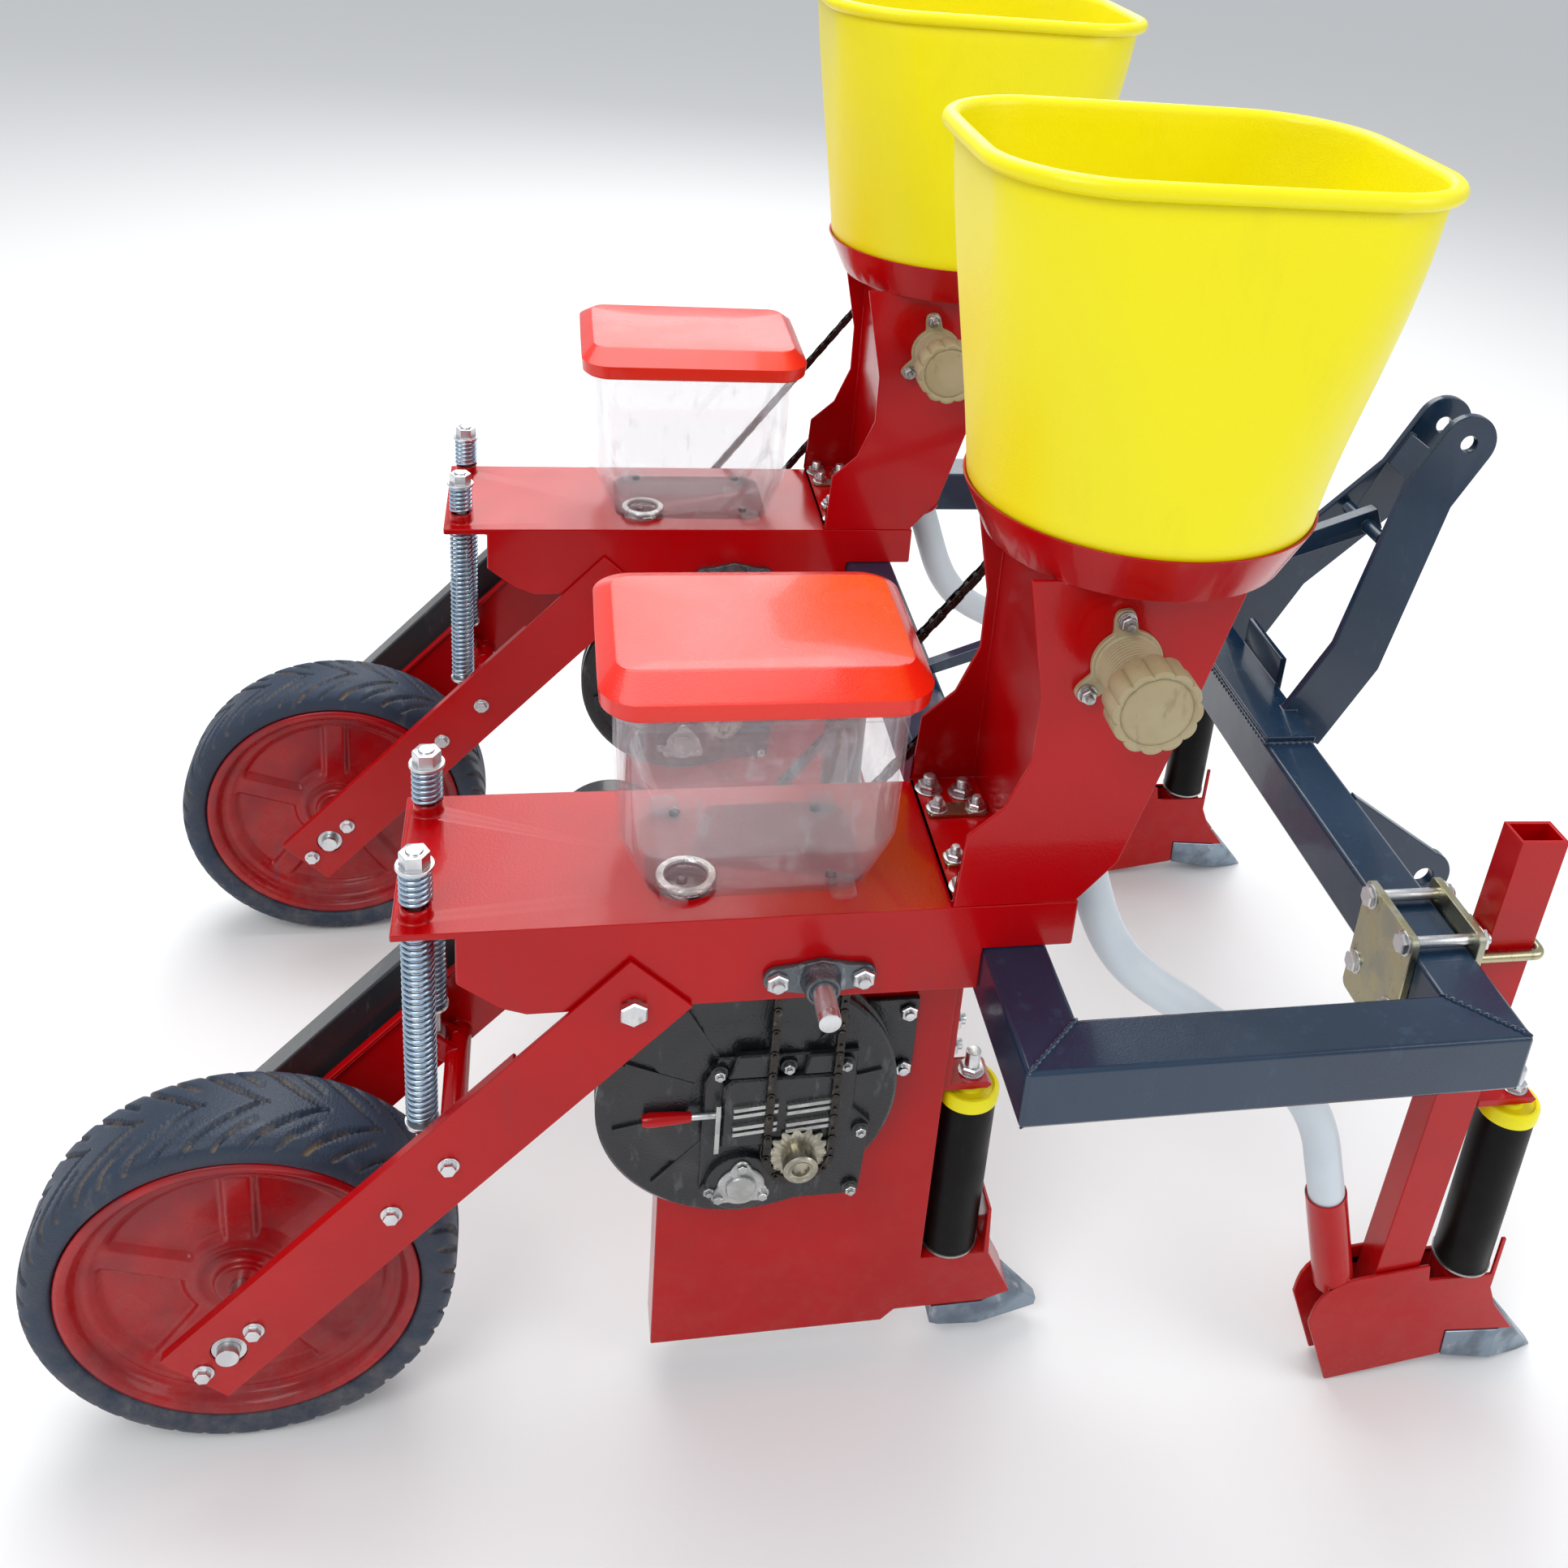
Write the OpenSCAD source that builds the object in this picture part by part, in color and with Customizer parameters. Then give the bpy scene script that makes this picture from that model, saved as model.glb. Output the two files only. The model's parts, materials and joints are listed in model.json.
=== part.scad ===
// Two-row mounted corn planter with fertilizer openers.
// X forward to the tractor, Y to the left, Z up; the origin is on the ground
// below the middle of the machine. Two identical sowing units hang on one frame.

/* [Frame] */
// Distance between the two rows
row_pitch = 760; // [740:2:800]
// Side of the square frame tube
tube = 60; // [58:1:60]
// Wall of the frame tube
tube_wall = 4; // [3:0.5:5]
// Rear face of the frame
frame_x0 = 73; // [73:1:74]
// Front face of the frame
frame_x1 = 535; // [535:1:536]
// Half of the frame's width
frame_y = 631; // [625:1:640]
// Top of the frame tubes
frame_top = 601; // [601:1:601]

/* [Hitch] */
// Height of the top link pin
top_link_z = 912; // [905:1:920]
// Forward place of the top link pin
top_link_x = 720; // [718:1:722]
// Radius of the top link pin hole
top_link_r = 10; // [9.5:0.5:11]
// Sideways place of each lower link plate
lower_link_y = 265; // [255:1:275]
// Radius of the lower link pin hole
lower_link_r = 11; // [10:0.5:12]

/* [Unit beam and wheel] */
// Half of the channel beam's width
beam_y = 98; // [98:1:98]
// Top of the channel beam
beam_top = 649; // [649:1:649]
// Radius of the ground wheel
wheel_r = 195; // [190:1:198]
// Half of the tyre's width
tyre_y = 48; // [44:1:50]
// Radius of the axle and of the other shafts
shaft_r = 10; // [9:0.5:10]

/* [Hoppers] */
// Rim height of the fertilizer hopper
hopper_top = 1313; // [1290:1:1320]
// Length of the hopper's rim
hopper_x = 374; // [350:1:380]
// Width of the hopper's rim
hopper_y = 294; // [280:1:310]
// Outside diameter of the fertilizer hose
hose_d = 38; // [34:1:40]

/* [Openers] */
// Radius of the anti-wrap rollers
roller_r = 30; // [26:1:30]
// Sideways places of the right and left fertilizer openers
fert_y = [-478, 400];

/* [Hidden] */
$fn = 48;
gap = 0.5;
run = 0.05;
unit_y = [-row_pitch / 2, row_pitch / 2];
frame_low = frame_top - tube;
plate = 4;

pivot = [-235, 562];
axle = [-586, wheel_r];
drive = [-74, 584];
meter = [-74, 350];
dose = [161, 897];
arm_len = norm(pivot - axle);
arm_ang = atan2(pivot[1] - axle[1], pivot[0] - axle[0]);
arm_w = 76;
arm_t = 5;
arm_in = beam_y + gap;
cross_bar = [-392, 368];
rod_x = -415;
rod_y = 74;
rod_r = 7;
rod_low = 385;
rod_top = 716;
bracket_t = 8;
bush_h = 12;
spring_r = 12.2;
spring_wire = 2;
drum = [-122, 405];
hop_x = 187;
pan_r = 150;
pan_top = 1016;
pan_low = 972;
stand_y = 98;
seed_roller = [112, 0];
seed_roller_z = [137, 350];
fert_roller_x = 660;
fert_roller_z = [150, 372];
chain_t = 6;
lid_x = -134;
lid_pin = [120, 862];
lid_run = 0.3;

// ---------- shared shapes ----------

// Cylinder along Y between two sideways places, centred at p = [x, z].
module yrod(p, y0, y1, r) {
    translate([p[0], y1, p[1]]) rotate([90, 0, 0]) cylinder(r = r, h = y1 - y0);
}

// Plate drawn in X and Z and thick in Y.
module xplate(points, x0, x1) {
    translate([x0, 0, 0]) rotate([90, 0, 90]) linear_extrude(x1 - x0) polygon(points);
}

module xrod(p, x0, x1, r) {
    translate([x0, p[0], p[1]]) rotate([0, 90, 0]) cylinder(r = r, h = x1 - x0);
}

module yplate(points, y0, y1) {
    translate([0, y1, 0]) rotate([90, 0, 0]) linear_extrude(y1 - y0) polygon(points);
}

// Rounded bar outline between two centres in X and Z, thick in Y.
module ybar(a, b, r, y0, y1) {
    d = b - a;
    translate([a[0], y1, a[1]]) rotate([90, -atan2(d[1], d[0]), 0]) linear_extrude(y1 - y0) {
        circle(r);
        translate([norm(d), 0]) circle(r);
        translate([0, -r]) square([norm(d), 2 * r]);
    }
}

// Closed roller chain round two equal sprockets.
module chain_loop(a, b, r, y) {
    difference() {
        ybar(a, b, r + gap + chain_t, y - chain_t / 2, y + chain_t / 2);
        ybar(a, b, r + gap, y - chain_t, y + chain_t);
    }
}

// Hexagon bolt head or nut along Y, with its washer.
module ybolt(p, y, dir, r = 6) {
    y0 = dir > 0 ? y : y - 8;
    yrod(p, dir > 0 ? y : y - 2, dir > 0 ? y + 2 : y, r * 1.35);
    translate([p[0], y0 + (dir > 0 ? 8 : 6), p[1]]) rotate([90, 0, 0])
        cylinder(r = r, h = 6, $fn = 6);
}

// Upright bolt with washer and nut standing on a plate.
module zbolt(p, r = 6) {
    translate(p) {
        cylinder(r = r * 1.5, h = 2);
        translate([0, 0, 2]) cylinder(r = r, h = 7, $fn = 6);
        translate([0, 0, 9]) cylinder(r = r * 0.55, h = 7);
    }
}

// Outline mirrored to the other side of the middle plane.
function both_sides(half) = concat(half, [for (k = [len(half) - 1:-1:0]) [half[k][0], -half[k][1]]]);

// Rounded rectangle with half sizes w and d and corner radius r, as points at height z.
function rounded(cx, z, w, d, r) = [for (k = [0:3], j = [0:4])
    let (a = 90 * k + 18 * j + 9, sx = k == 0 || k == 3 ? 1 : -1, sy = k < 2 ? 1 : -1)
    [cx + sx * (w - r) + r * cos(a), sy * (d - r) + r * sin(a), z]];

// Closed skin through a list of rings; the last ring joins the first.
module ring_skin(rings) {
    m = len(rings[0]);
    k = len(rings);
    polyhedron(
        points = [for (g = rings) each g],
        faces = [for (i = [0:k - 1], j = [0:m - 1]) let (
                a = i * m + j, b = i * m + (j + 1) % m,
                c = ((i + 1) % k) * m + (j + 1) % m, e = ((i + 1) % k) * m + j) each [[a, c, b], [a, e, c]]]);
}

// ---------- frame and hitch ----------

module main_frame() {
    color([0.12, 0.17, 0.27]) difference() {
        translate([frame_x0, -frame_y, frame_low])
            cube([frame_x1 - frame_x0, 2 * frame_y, tube]);
        translate([frame_x0 + tube, -frame_y + tube, frame_low - 1])
            cube([frame_x1 - frame_x0 - 2 * tube, 2 * (frame_y - tube), tube + 2]);
        for (x = [frame_x0, frame_x1 - tube])
            translate([x + tube_wall, -frame_y + tube_wall, frame_low + tube_wall])
                cube([tube - 2 * tube_wall, 2 * (frame_y - tube_wall), tube - 2 * tube_wall]);
        for (y = [-frame_y, frame_y - tube])
            translate([frame_x0 + tube_wall, y + tube_wall, frame_low + tube_wall])
                cube([frame_x1 - frame_x0 - 2 * tube_wall, tube - 2 * tube_wall,
                    tube - 2 * tube_wall]);
    }
}

mast_lean = 28;
mast_w = 70;
mast_t = 10;
mast_foot_t = 8;
mast_top_y = 29;
mast_foot_y = 105;
mast_bends = [-265, -72];
mast_end = -380;

// One mast arm: a flat bar bent twice, drawn across Y and along its own length.
module mast_arm(side) {
    t = mast_t / 2;
    line = [[mast_foot_y, mast_end], [mast_foot_y, mast_bends[0]],
        [mast_top_y, mast_bends[1]], [mast_top_y, mast_w / 2]];
    flat = concat([for (p = line) [p[0] + t, p[1]]],
        [for (i = [3:-1:0]) [line[i][0] - t, line[i][1]]]);
    difference() {
        intersection() {
            translate([top_link_x, 0, top_link_z]) rotate([0, mast_lean, 0])
                translate([-mast_w / 2, 0, 0]) rotate([90, 0, 90]) linear_extrude(mast_w)
                    polygon([for (p = flat) [side * p[0], p[1]]]);
            union() {
                yrod([top_link_x, top_link_z], -200, 200, mast_w / 2);
                translate([top_link_x, 0, top_link_z]) rotate([0, mast_lean, 0])
                    translate([-mast_w, -200, mast_end]) cube([2 * mast_w, 400, -mast_end]);
            }
        }
        translate([0, -300, frame_low - 100])
            cube([frame_x1, 600, tube + 100 + mast_foot_t]);
        translate([0, -300, 0]) cube([900, 600, frame_low + 10]);
        yrod([top_link_x, top_link_z], -100, 100, top_link_r);
    }
}

module hitch_mast() {
    color([0.12, 0.17, 0.27]) {
        for (s = [-1, 1]) mast_arm(s);
        // foot plate welded on the front tube, with its stop tab
        translate([frame_x1 - tube, -165, frame_top]) cube([tube, 330, mast_foot_t]);
        translate([frame_x1, -50, frame_low + 8]) cube([8, 100, 93]);
        // spacer between the two arms
        translate([top_link_x, 0, top_link_z]) rotate([0, mast_lean, 0])
            translate([-mast_w / 2 + 3, -mast_top_y + mast_t / 2, -72])
                cube([8, 2 * mast_top_y - mast_t, 44]);
        // stay from the arms down to the rear tube
        difference() {
            yplate([[frame_x0 + 8, frame_top], [frame_x0 + 44, frame_top],
                    [652, 792], [641, 818]], -8, 8);
            translate([frame_x1 - tube - 1, -9, 0]) cube([200, 18, frame_top + mast_foot_t]);
        }
        for (s = [-1, 1]) yrod([632, 796], s > 0 ? 8 : -45, s > 0 ? 45 : -8, 8);
    }
    // lower link plates
    color([0.12, 0.17, 0.27]) for (s = [-1, 1]) difference() {
        union() {
            yplate([[frame_x1, frame_top], [664, 512], [664, 474], [630, 462],
                    [frame_x1, frame_low]], s * lower_link_y - 6, s * lower_link_y + 6);
            yrod([641, 491], s * lower_link_y - 6, s * lower_link_y + 6, 32);
        }
        yrod([641, 491], -frame_y, frame_y, lower_link_r);
    }
}

// ---------- sowing unit: beam ----------

module unit_beam(i) {
    skirt = [[-383, beam_top], [-383, 594], [-349, 566], [-325, 557], [frame_x0, 557],
        [frame_x0, frame_top], [156, frame_top], [156, beam_top]];
    translate([0, unit_y[i], 0]) color([0.75, 0.05, 0.05]) difference() {
        union() {
            translate([-383, -beam_y, beam_top - plate]) cube([539, 2 * beam_y, plate]);
            for (s = [-1, 1]) yplate(skirt, s > 0 ? beam_y - plate : -beam_y,
                s > 0 ? beam_y : -beam_y + plate);
            translate([-383, -beam_y, 594]) cube([plate, 2 * beam_y, beam_top - 594]);
            // ears that carry the pivot shaft
            for (s = [-1, 1])
                yplate([[-275, 600], [-275, 545], [-250, 532], [-220, 532], [-195, 545], [-195, 600]],
                    s > 0 ? 80 : -94, s > 0 ? 94 : -80);
            // rear plate with the bushes of the spring rods
            translate([-435, -beam_y, beam_top - bracket_t]) cube([53, 2 * beam_y, bracket_t]);
            for (s = [-1, 1]) translate([rod_x, s * rod_y, beam_top - 1]) cylinder(r = 13, h = bush_h + 1);
        }
        for (s = [-1, 1]) translate([rod_x, s * rod_y, beam_top - 20]) cylinder(r = rod_r + 3, h = 50);
        yrod(pivot, -200, 200, shaft_r + run);
        yrod(drive, -200, 200, 16);
        translate([-190, -45, beam_top - 20]) cylinder(r = 24, h = 40);
    }
}

// ---------- sowing unit: wheel, arms and springs ----------

module wheel_arms(i) {
    translate([0, unit_y[i], 0]) color([0.75, 0.05, 0.05]) difference() {
        union() {
            for (s = [-1, 1]) translate([axle[0], 0, axle[1]]) rotate([0, -arm_ang, 0]) {
                translate([-46, s > 0 ? arm_in : -arm_in - arm_t, -arm_w / 2])
                    cube([arm_len + 80, arm_t, arm_w]);
                translate([-46, s > 0 ? arm_in - 7 : -arm_in - arm_t, arm_w / 2 - 4])
                    cube([arm_len - 60, 7 + arm_t, 4]);
            }
            // cross tube and the lugs that hold the spring rods
            yrod(cross_bar, -arm_in - 1, arm_in + 1, 12);
            for (s = [-1, 1], d = [-14.5, 9.5])
                ybar(cross_bar, [rod_x, rod_low], 11, s * rod_y + d, s * rod_y + d + 5);
        }
        yrod(pivot, -300, 300, shaft_r + run);
        yrod(axle, -300, 300, 16);
        yrod([rod_x, rod_low], -rod_y - 15, rod_y + 15, 5);
    }
}

module arm_hardware(i) {
    along = [cos(arm_ang), sin(arm_ang)];
    translate([0, unit_y[i], 0]) {
        // flange bearings of the axle
        color([0.35, 0.36, 0.38]) for (s = [-1, 1]) difference() {
            union() {
                ybar(axle - 33 * along, axle + 33 * along, 14,
                    s > 0 ? arm_in - 8 : -arm_in, s > 0 ? arm_in : -arm_in + 8);
                yrod(axle, s > 0 ? 72 : -102, s > 0 ? 102 : -72, 15.5);
            }
            yrod(axle, -200, 200, shaft_r + run);
        }
        // bolts of the bearings and of the cross tube, and the pins of the spring rods
        color("silver") {
            for (d = [-33, 33, 210, 282]) ybolt(axle + d * along, -arm_in - arm_t, -1, 7);
            for (s = [-1, 1]) yrod([rod_x, rod_low], s * rod_y - 15, s * rod_y + 15, 5);
        }
    }
}

case_off = 20;
case_r = 52;

module chain_case(i) {
    shift = case_off * [-sin(arm_ang), cos(arm_ang)];
    a = axle + shift;
    b = pivot + shift;
    translate([0, unit_y[i], 0]) color([0.16, 0.17, 0.18]) difference() {
        union() {
            ybar(a, b, case_r, 116, 148);
            // spacers on the arm
            for (t = [0.25, 0.8]) yrod(axle + t * (pivot - axle), arm_in + arm_t, 117, 12);
        }
        ybar(a, b, case_r - 2.5, 118.5, 145.5);
        yrod(axle, 110, 130, shaft_r + 1);
        yrod(pivot, 110, 130, shaft_r + 1);
    }
}

module wheel_chain(i) {
    translate([0, unit_y[i], 0]) color([0.1, 0.1, 0.1]) chain_loop(axle, pivot, 20, 132);
}

module axle_shaft(i) {
    translate([0, unit_y[i], 0]) color("silver") {
        yrod(axle, -112, 142, shaft_r);
        sprocket(axle, 132, 20);
    }
}

module wheel_rim(i) {
    half = [[shaft_r, 34], [24, 34], [24, 22], [70, 25], [118, 22], [146, 30], [152, 44], [162, 44],
        [158, 28], [152, 22]];
    inner = [[20, 19], [70, 22], [118, 19], [146, 26], [149, 22]];
    translate([axle[0], unit_y[i], axle[1]]) color([0.72, 0.06, 0.06]) rotate([90, 0, 0])
        rotate_extrude($fn = 96) difference() {
            polygon(both_sides(half));
            polygon(both_sides(inner));
        }
}

module tyre(i) {
    s = wheel_r;
    profile = [[158.5, -28], [163, -44], [s - 14, -tyre_y], [s - 5, -tyre_y + 4], [s, -tyre_y + 14],
        [s, tyre_y - 14], [s - 5, tyre_y - 4], [s - 14, tyre_y], [163, 44], [158.5, 28],
        [152.5, 22], [152.5, -22]];
    translate([axle[0], unit_y[i], axle[1]]) color([0.13, 0.15, 0.19]) rotate([90, 0, 0])
        rotate_extrude($fn = 96) polygon(profile);
}

module spring_rods(i) {
    translate([0, unit_y[i], 0]) color("silver") for (s = [-1, 1]) translate([rod_x, s * rod_y, 0]) {
        // rod with its eye
        difference() {
            union() {
                translate([0, 0, rod_low]) cylinder(r = rod_r, h = rod_top - rod_low);
                yrod([0, rod_low], -8.5, 8.5, 11);
            }
            yrod([0, rod_low], -20, 20, 5 + run);
        }
        // spring seat, top washer and nut
        translate([0, 0, rod_low + 38]) cylinder(r = 15, h = 4);
        translate([0, 0, rod_top - 17]) cylinder(r = 16, h = 3);
        translate([0, 0, rod_top - 14]) cylinder(r = 13, h = 12, $fn = 6);
    }
}

// Coil spring: a wire carried along a helix.
module coil(z0, z1, turns) {
    r = spring_r;
    wire = spring_wire;
    n = turns * 6;
    m = 4;
    ring = function (k)
        let (a = 360 * k / 6, z = z0 + wire + (z1 - z0 - 2 * wire) * k / n)
        [for (j = [0:m - 1]) let (b = 360 * j / m)
            [(r + wire * cos(b)) * cos(a), (r + wire * cos(b)) * sin(a), z + wire * sin(b)]];
    polyhedron(
        points = [for (k = [0:n]) each ring(k)],
        faces = concat(
            [for (k = [0:n - 1], j = [0:m - 1]) let (a = k * m + j, b = k * m + (j + 1) % m)
                each [[a, b, b + m], [a, b + m, a + m]]],
            [[for (j = [m - 1:-1:0]) j]], [[for (j = [0:m - 1]) n * m + j]]));
}

module springs(i) {
    translate([0, unit_y[i], 0]) color([0.7, 0.74, 0.78])
        for (s = [-1, 1]) translate([rod_x, s * rod_y, 0]) {
            coil(rod_low + 42, beam_top - bracket_t, 13);
        }
}

module rebound_springs(i) {
    translate([0, unit_y[i], 0]) color([0.7, 0.74, 0.78])
        for (s = [-1, 1]) translate([rod_x, s * rod_y, 0]) {
            coil(beam_top + bush_h, rod_top - 17, 5);
        }
}

// ---------- sowing unit: drive ----------

module shaft_bearings() {
    for (y = unit_y) translate([0, y, 0]) {
        color([0.3, 0.33, 0.36]) for (s = [-1, 1]) difference() {
            union() {
                ybar(drive - [38, 0], drive + [38, 0], 12, s > 0 ? 98 : -104, s > 0 ? 104 : -98);
                yrod(drive, s > 0 ? 92 : -122, s > 0 ? 108 : -92, 15.5);
            }
            yrod(drive, -200, 200, shaft_r + run);
        }
        color("silver") for (s = [-1, 1], d = [-38, 38]) ybolt(drive + [d, 0], s * 104, s, 6);
    }
}

module sprocket(p, y, r) {
    yrod(p, y - 2.5, y + 2.5, r);
}

module pivot_shaft(i) {
    translate([0, unit_y[i], 0]) color("silver") {
        yrod(pivot, -110, 140, shaft_r);
        sprocket(pivot, 132, 20);
        sprocket(pivot, 40, 26);
        translate([pivot[0], -104, pivot[1]]) rotate([90, 0, 0]) cylinder(r = 13, h = 9, $fn = 6);
    }
}

module drive_shaft(i) {
    translate([0, unit_y[i], 0]) color("silver") {
        yrod(drive, -161, 126, shaft_r);
        sprocket(drive, 40, 26);
        sprocket(drive, -76, 27);
        sprocket(drive, 116, 36);
    }
}

module drive_chains() {
    color([0.1, 0.1, 0.1]) for (y = unit_y) translate([0, y, 0]) {
        chain_loop(pivot, drive, 26, 40);
        chain_loop(meter, drive, 27, -76);
        chain_loop(drive, dose, 36, 116);
    }
}

module meter_rotor(i) {
    translate([0, unit_y[i], 0]) color([0.6, 0.55, 0.45]) {
        yrod(meter, -100, -40, 9);
        sprocket(meter, -76, 27);
        yrod(meter, -98, -80, 15);
    }
}

module meter_housing(i) {
    translate([0, unit_y[i], 0]) color([0.08, 0.09, 0.1]) difference() {
        union() {
            yrod(drum, -58, -32, 142);
            // gearbox on the near side
            yplate([[-165, 300], [-150, 280], [-15, 280], [-4, 292], [-4, 430], [-150, 430],
                    [-165, 415]], -66, -57);
            yrod([-126, 312], -72, -60, 24);
            // neck below the seed box
            translate([-190, -45, 530]) cylinder(r = 22, h = beam_top - 530);
            // bracket to the opener
            yplate([[-10, 395], [40, 395], [40, 490], [-10, 490]], -32, -25);
        }
        yrod(drum, -55, -35, 138);
        yrod(meter, -80, -50, 9 + run);
        translate([-190, -45, 534]) cylinder(r = 18, h = 200);
        translate([-190, -45, 525]) cylinder(r = 7, h = 20);
    }
}

module seed_box(i) {
    // wall: centre, height, half length, half width and corner radius
    wall = [[-128, beam_top, 97, 68, 26], [-131, 714, 120, 93, 30], [-134, 846, 123, 102, 31],
        [-134, 848, 128, 108, 34], [-134, 852, 128, 108, 34], [-134, 854, 124, 104, 32],
        [-134, 864, 124, 104, 32]];
    skin = function (w, t) rounded(w[0], w[1], w[2] - t, w[3] - t, w[4] - t);
    outlet = function (z) [for (p = rounded(0, z, 18, 18, 18)) p + [-190, -45, 0]];
    translate([0, unit_y[i], 0]) color([0.85, 0.88, 0.9, 0.4]) {
        ring_skin(concat(
            [for (w = wall) skin(w, 0)], [for (k = [6, 2, 1]) skin(wall[k], 3)],
            [skin([-128, beam_top + 4, 98, 69, 26], 4), outlet(beam_top + 4), outlet(beam_top)]));
        // two lugs, each with a stud for the lid's eye
        for (s = [-1, 1]) {
            xplate([[103, 849], [124, 849], [124, 862], [116, 862], [116, 851], [103, 851]],
                lid_x + s * 48 - 8, lid_x + s * 48 + 8);
            xrod(lid_pin, lid_x + s * 48 - 8, lid_x + s * 48 + 8, 4.5);
            xrod(lid_pin, lid_x + (s > 0 ? 54 : -84), lid_x + (s > 0 ? 84 : -54), 2);
        }
    }
}

module seed_lid(i) {
    // height, half length, half width and corner radius from the skirt up to the crown
    top = [[856, 136, 112, 36], [872, 138, 114, 36], [886, 124, 82, 20]];
    solid = function (t) [for (k = [0:2]) rounded(lid_x, top[k][0] - (k == 0 ? (t > 0 ? 1 : 0) : t),
        top[k][1] - t, top[k][2] - t, top[k][3] - t)];
    translate([0, unit_y[i], 0]) color([0.95, 0.2, 0.12]) {
        difference() {
            slab(solid(0));
            slab(solid(4));
        }
        // hinge eyes
        for (s = [-1, 1]) difference() {
            union() {
                xplate([[111, 858], [120, 858], [120, 866], [111, 866]],
                    lid_x + s * 70 - 12, lid_x + s * 70 + 12);
                xrod(lid_pin, lid_x + s * 70 - 12, lid_x + s * 70 + 12, 4.5);
            }
            xrod(lid_pin, lid_x + s * 70 - 13, lid_x + s * 70 + 13, 2 + lid_run);
        }
    }
}

// Solid with flat ends through a list of rings.
module slab(rings) {
    m = len(rings[0]);
    k = len(rings);
    polyhedron(
        points = [for (g = rings) each g],
        faces = concat([[for (j = [0:m - 1]) j]], [[for (j = [m - 1:-1:0]) (k - 1) * m + j]],
            [for (i = [0:k - 2], j = [0:m - 1])
                [i * m + j, (i + 1) * m + j, (i + 1) * m + (j + 1) % m, i * m + (j + 1) % m]]));
}

// ---------- openers ----------

module seed_opener(i) {
    w = 25;
    neck_top = beam_top - plate;
    side = [[-200, 48], [43, 48], [56, 62], [152, 62], [182, 72], [152, 132], [148, 196], [144, 196],
        [146, 134], [78, 134], [78, 536], [68, 545], [68, neck_top], [-20, neck_top], [-20, 300],
        [-200, 300]];
    core = [[-194, 40], [38, 40], [54, 68], [166, 74], [140, 128], [72, 128], [72, 532], [62, 542],
        [62, neck_top - 5], [-14, neck_top - 5], [-14, 294], [-194, 294]];
    translate([0, unit_y[i], 0]) color([0.68, 0.05, 0.05]) difference() {
        yplate(side, -w, w);
        yplate(core, -w + 4, w - 4);
        translate([seed_roller[0], 0, 120]) cylinder(r = 8 + run, h = 60);
    }
}

module opener_points() {
    color([0.72, 0.74, 0.76]) {
        for (y = unit_y) translate([0, y, 0]) intersection() {
            yplate([[96, 38], [96, 62], [152, 62], [182, 72], [222, 34], [221, 24], [106, 34]], -27, 27);
            point_plan([[90, 27], [150, 27], [224, 6]]);
        }
        for (y = fert_y) translate([0, y, 0]) intersection() {
            yplate([[654, 24], [652, 60], [735, 52], [781, 0], [762, 0]], -24, 24);
            point_plan([[640, 24], [716, 24], [784, 5]]);
        }
    }
}

// upright prism over a plan that is the same on both sides of the middle
module point_plan(half) {
    linear_extrude(100)
        polygon(concat(half, [for (k = [len(half) - 1:-1:0]) [half[k][0], -half[k][1]]]));
}

module roller_rods() {
    for (y = unit_y) translate([seed_roller[0], y, 0]) {
        color("silver") translate([0, 0, 122]) cylinder(r = 8, h = 268);
        color([0.72, 0.06, 0.06]) difference() {
            union() {
                translate([-34, -18, 356]) cube([52, 36, 8]);
                translate([-34, -18, 356]) cube([8, 36, frame_low - 356]);
            }
            translate([0, 0, 350]) cylinder(r = 8, h = 20);
        }
        color("silver") for (z = [400, 432]) translate([-26, 0, z]) rotate([0, 90, 0])
            cylinder(r = 7, h = 7, $fn = 6);
        color("silver") translate([0, 0, 364]) cylinder(r = 12, h = 8, $fn = 6);
    }
    for (y = fert_y) translate([fert_roller_x, y, 0]) {
        color("silver") translate([0, 0, 124]) cylinder(r = 8, h = 288);
        color([0.72, 0.06, 0.06]) difference() {
            translate([-60, -16, 378]) cube([78, 32, 8]);
            translate([0, 0, 370]) cylinder(r = 8, h = 20);
            translate([548 - fert_roller_x, 0, 100]) rotate([0, shank_lean, 0])
                translate([-40, -shank[1], 0]) cube([shank[0] + 40, 2 * shank[1], 606]);
        }
        color("silver") translate([0, 0, 386]) cylinder(r = 12, h = 8, $fn = 6);
    }
}

// Hollow anti-wrap roller with its cap.
module roller(x, y, z) {
    translate([x, y, 0]) {
        color([0.05, 0.05, 0.05]) translate([0, 0, z[0]]) difference() {
            cylinder(r = roller_r, h = z[1] - z[0]);
            translate([0, 0, 4]) cylinder(r = roller_r - 4, h = z[1] - z[0] - 8);
            translate([0, 0, -1]) cylinder(r = 8 + run, h = 500);
        }
    }
}

module seed_roller(i) {
    roller(seed_roller[0], unit_y[i], seed_roller_z);
}

module fert_roller(i) {
    roller(fert_roller_x, fert_y[i], fert_roller_z);
}

shank = [50, 34];
shank_lean = 2.4;
fert_tube = [[478, 262], [514, 132]];

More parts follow.
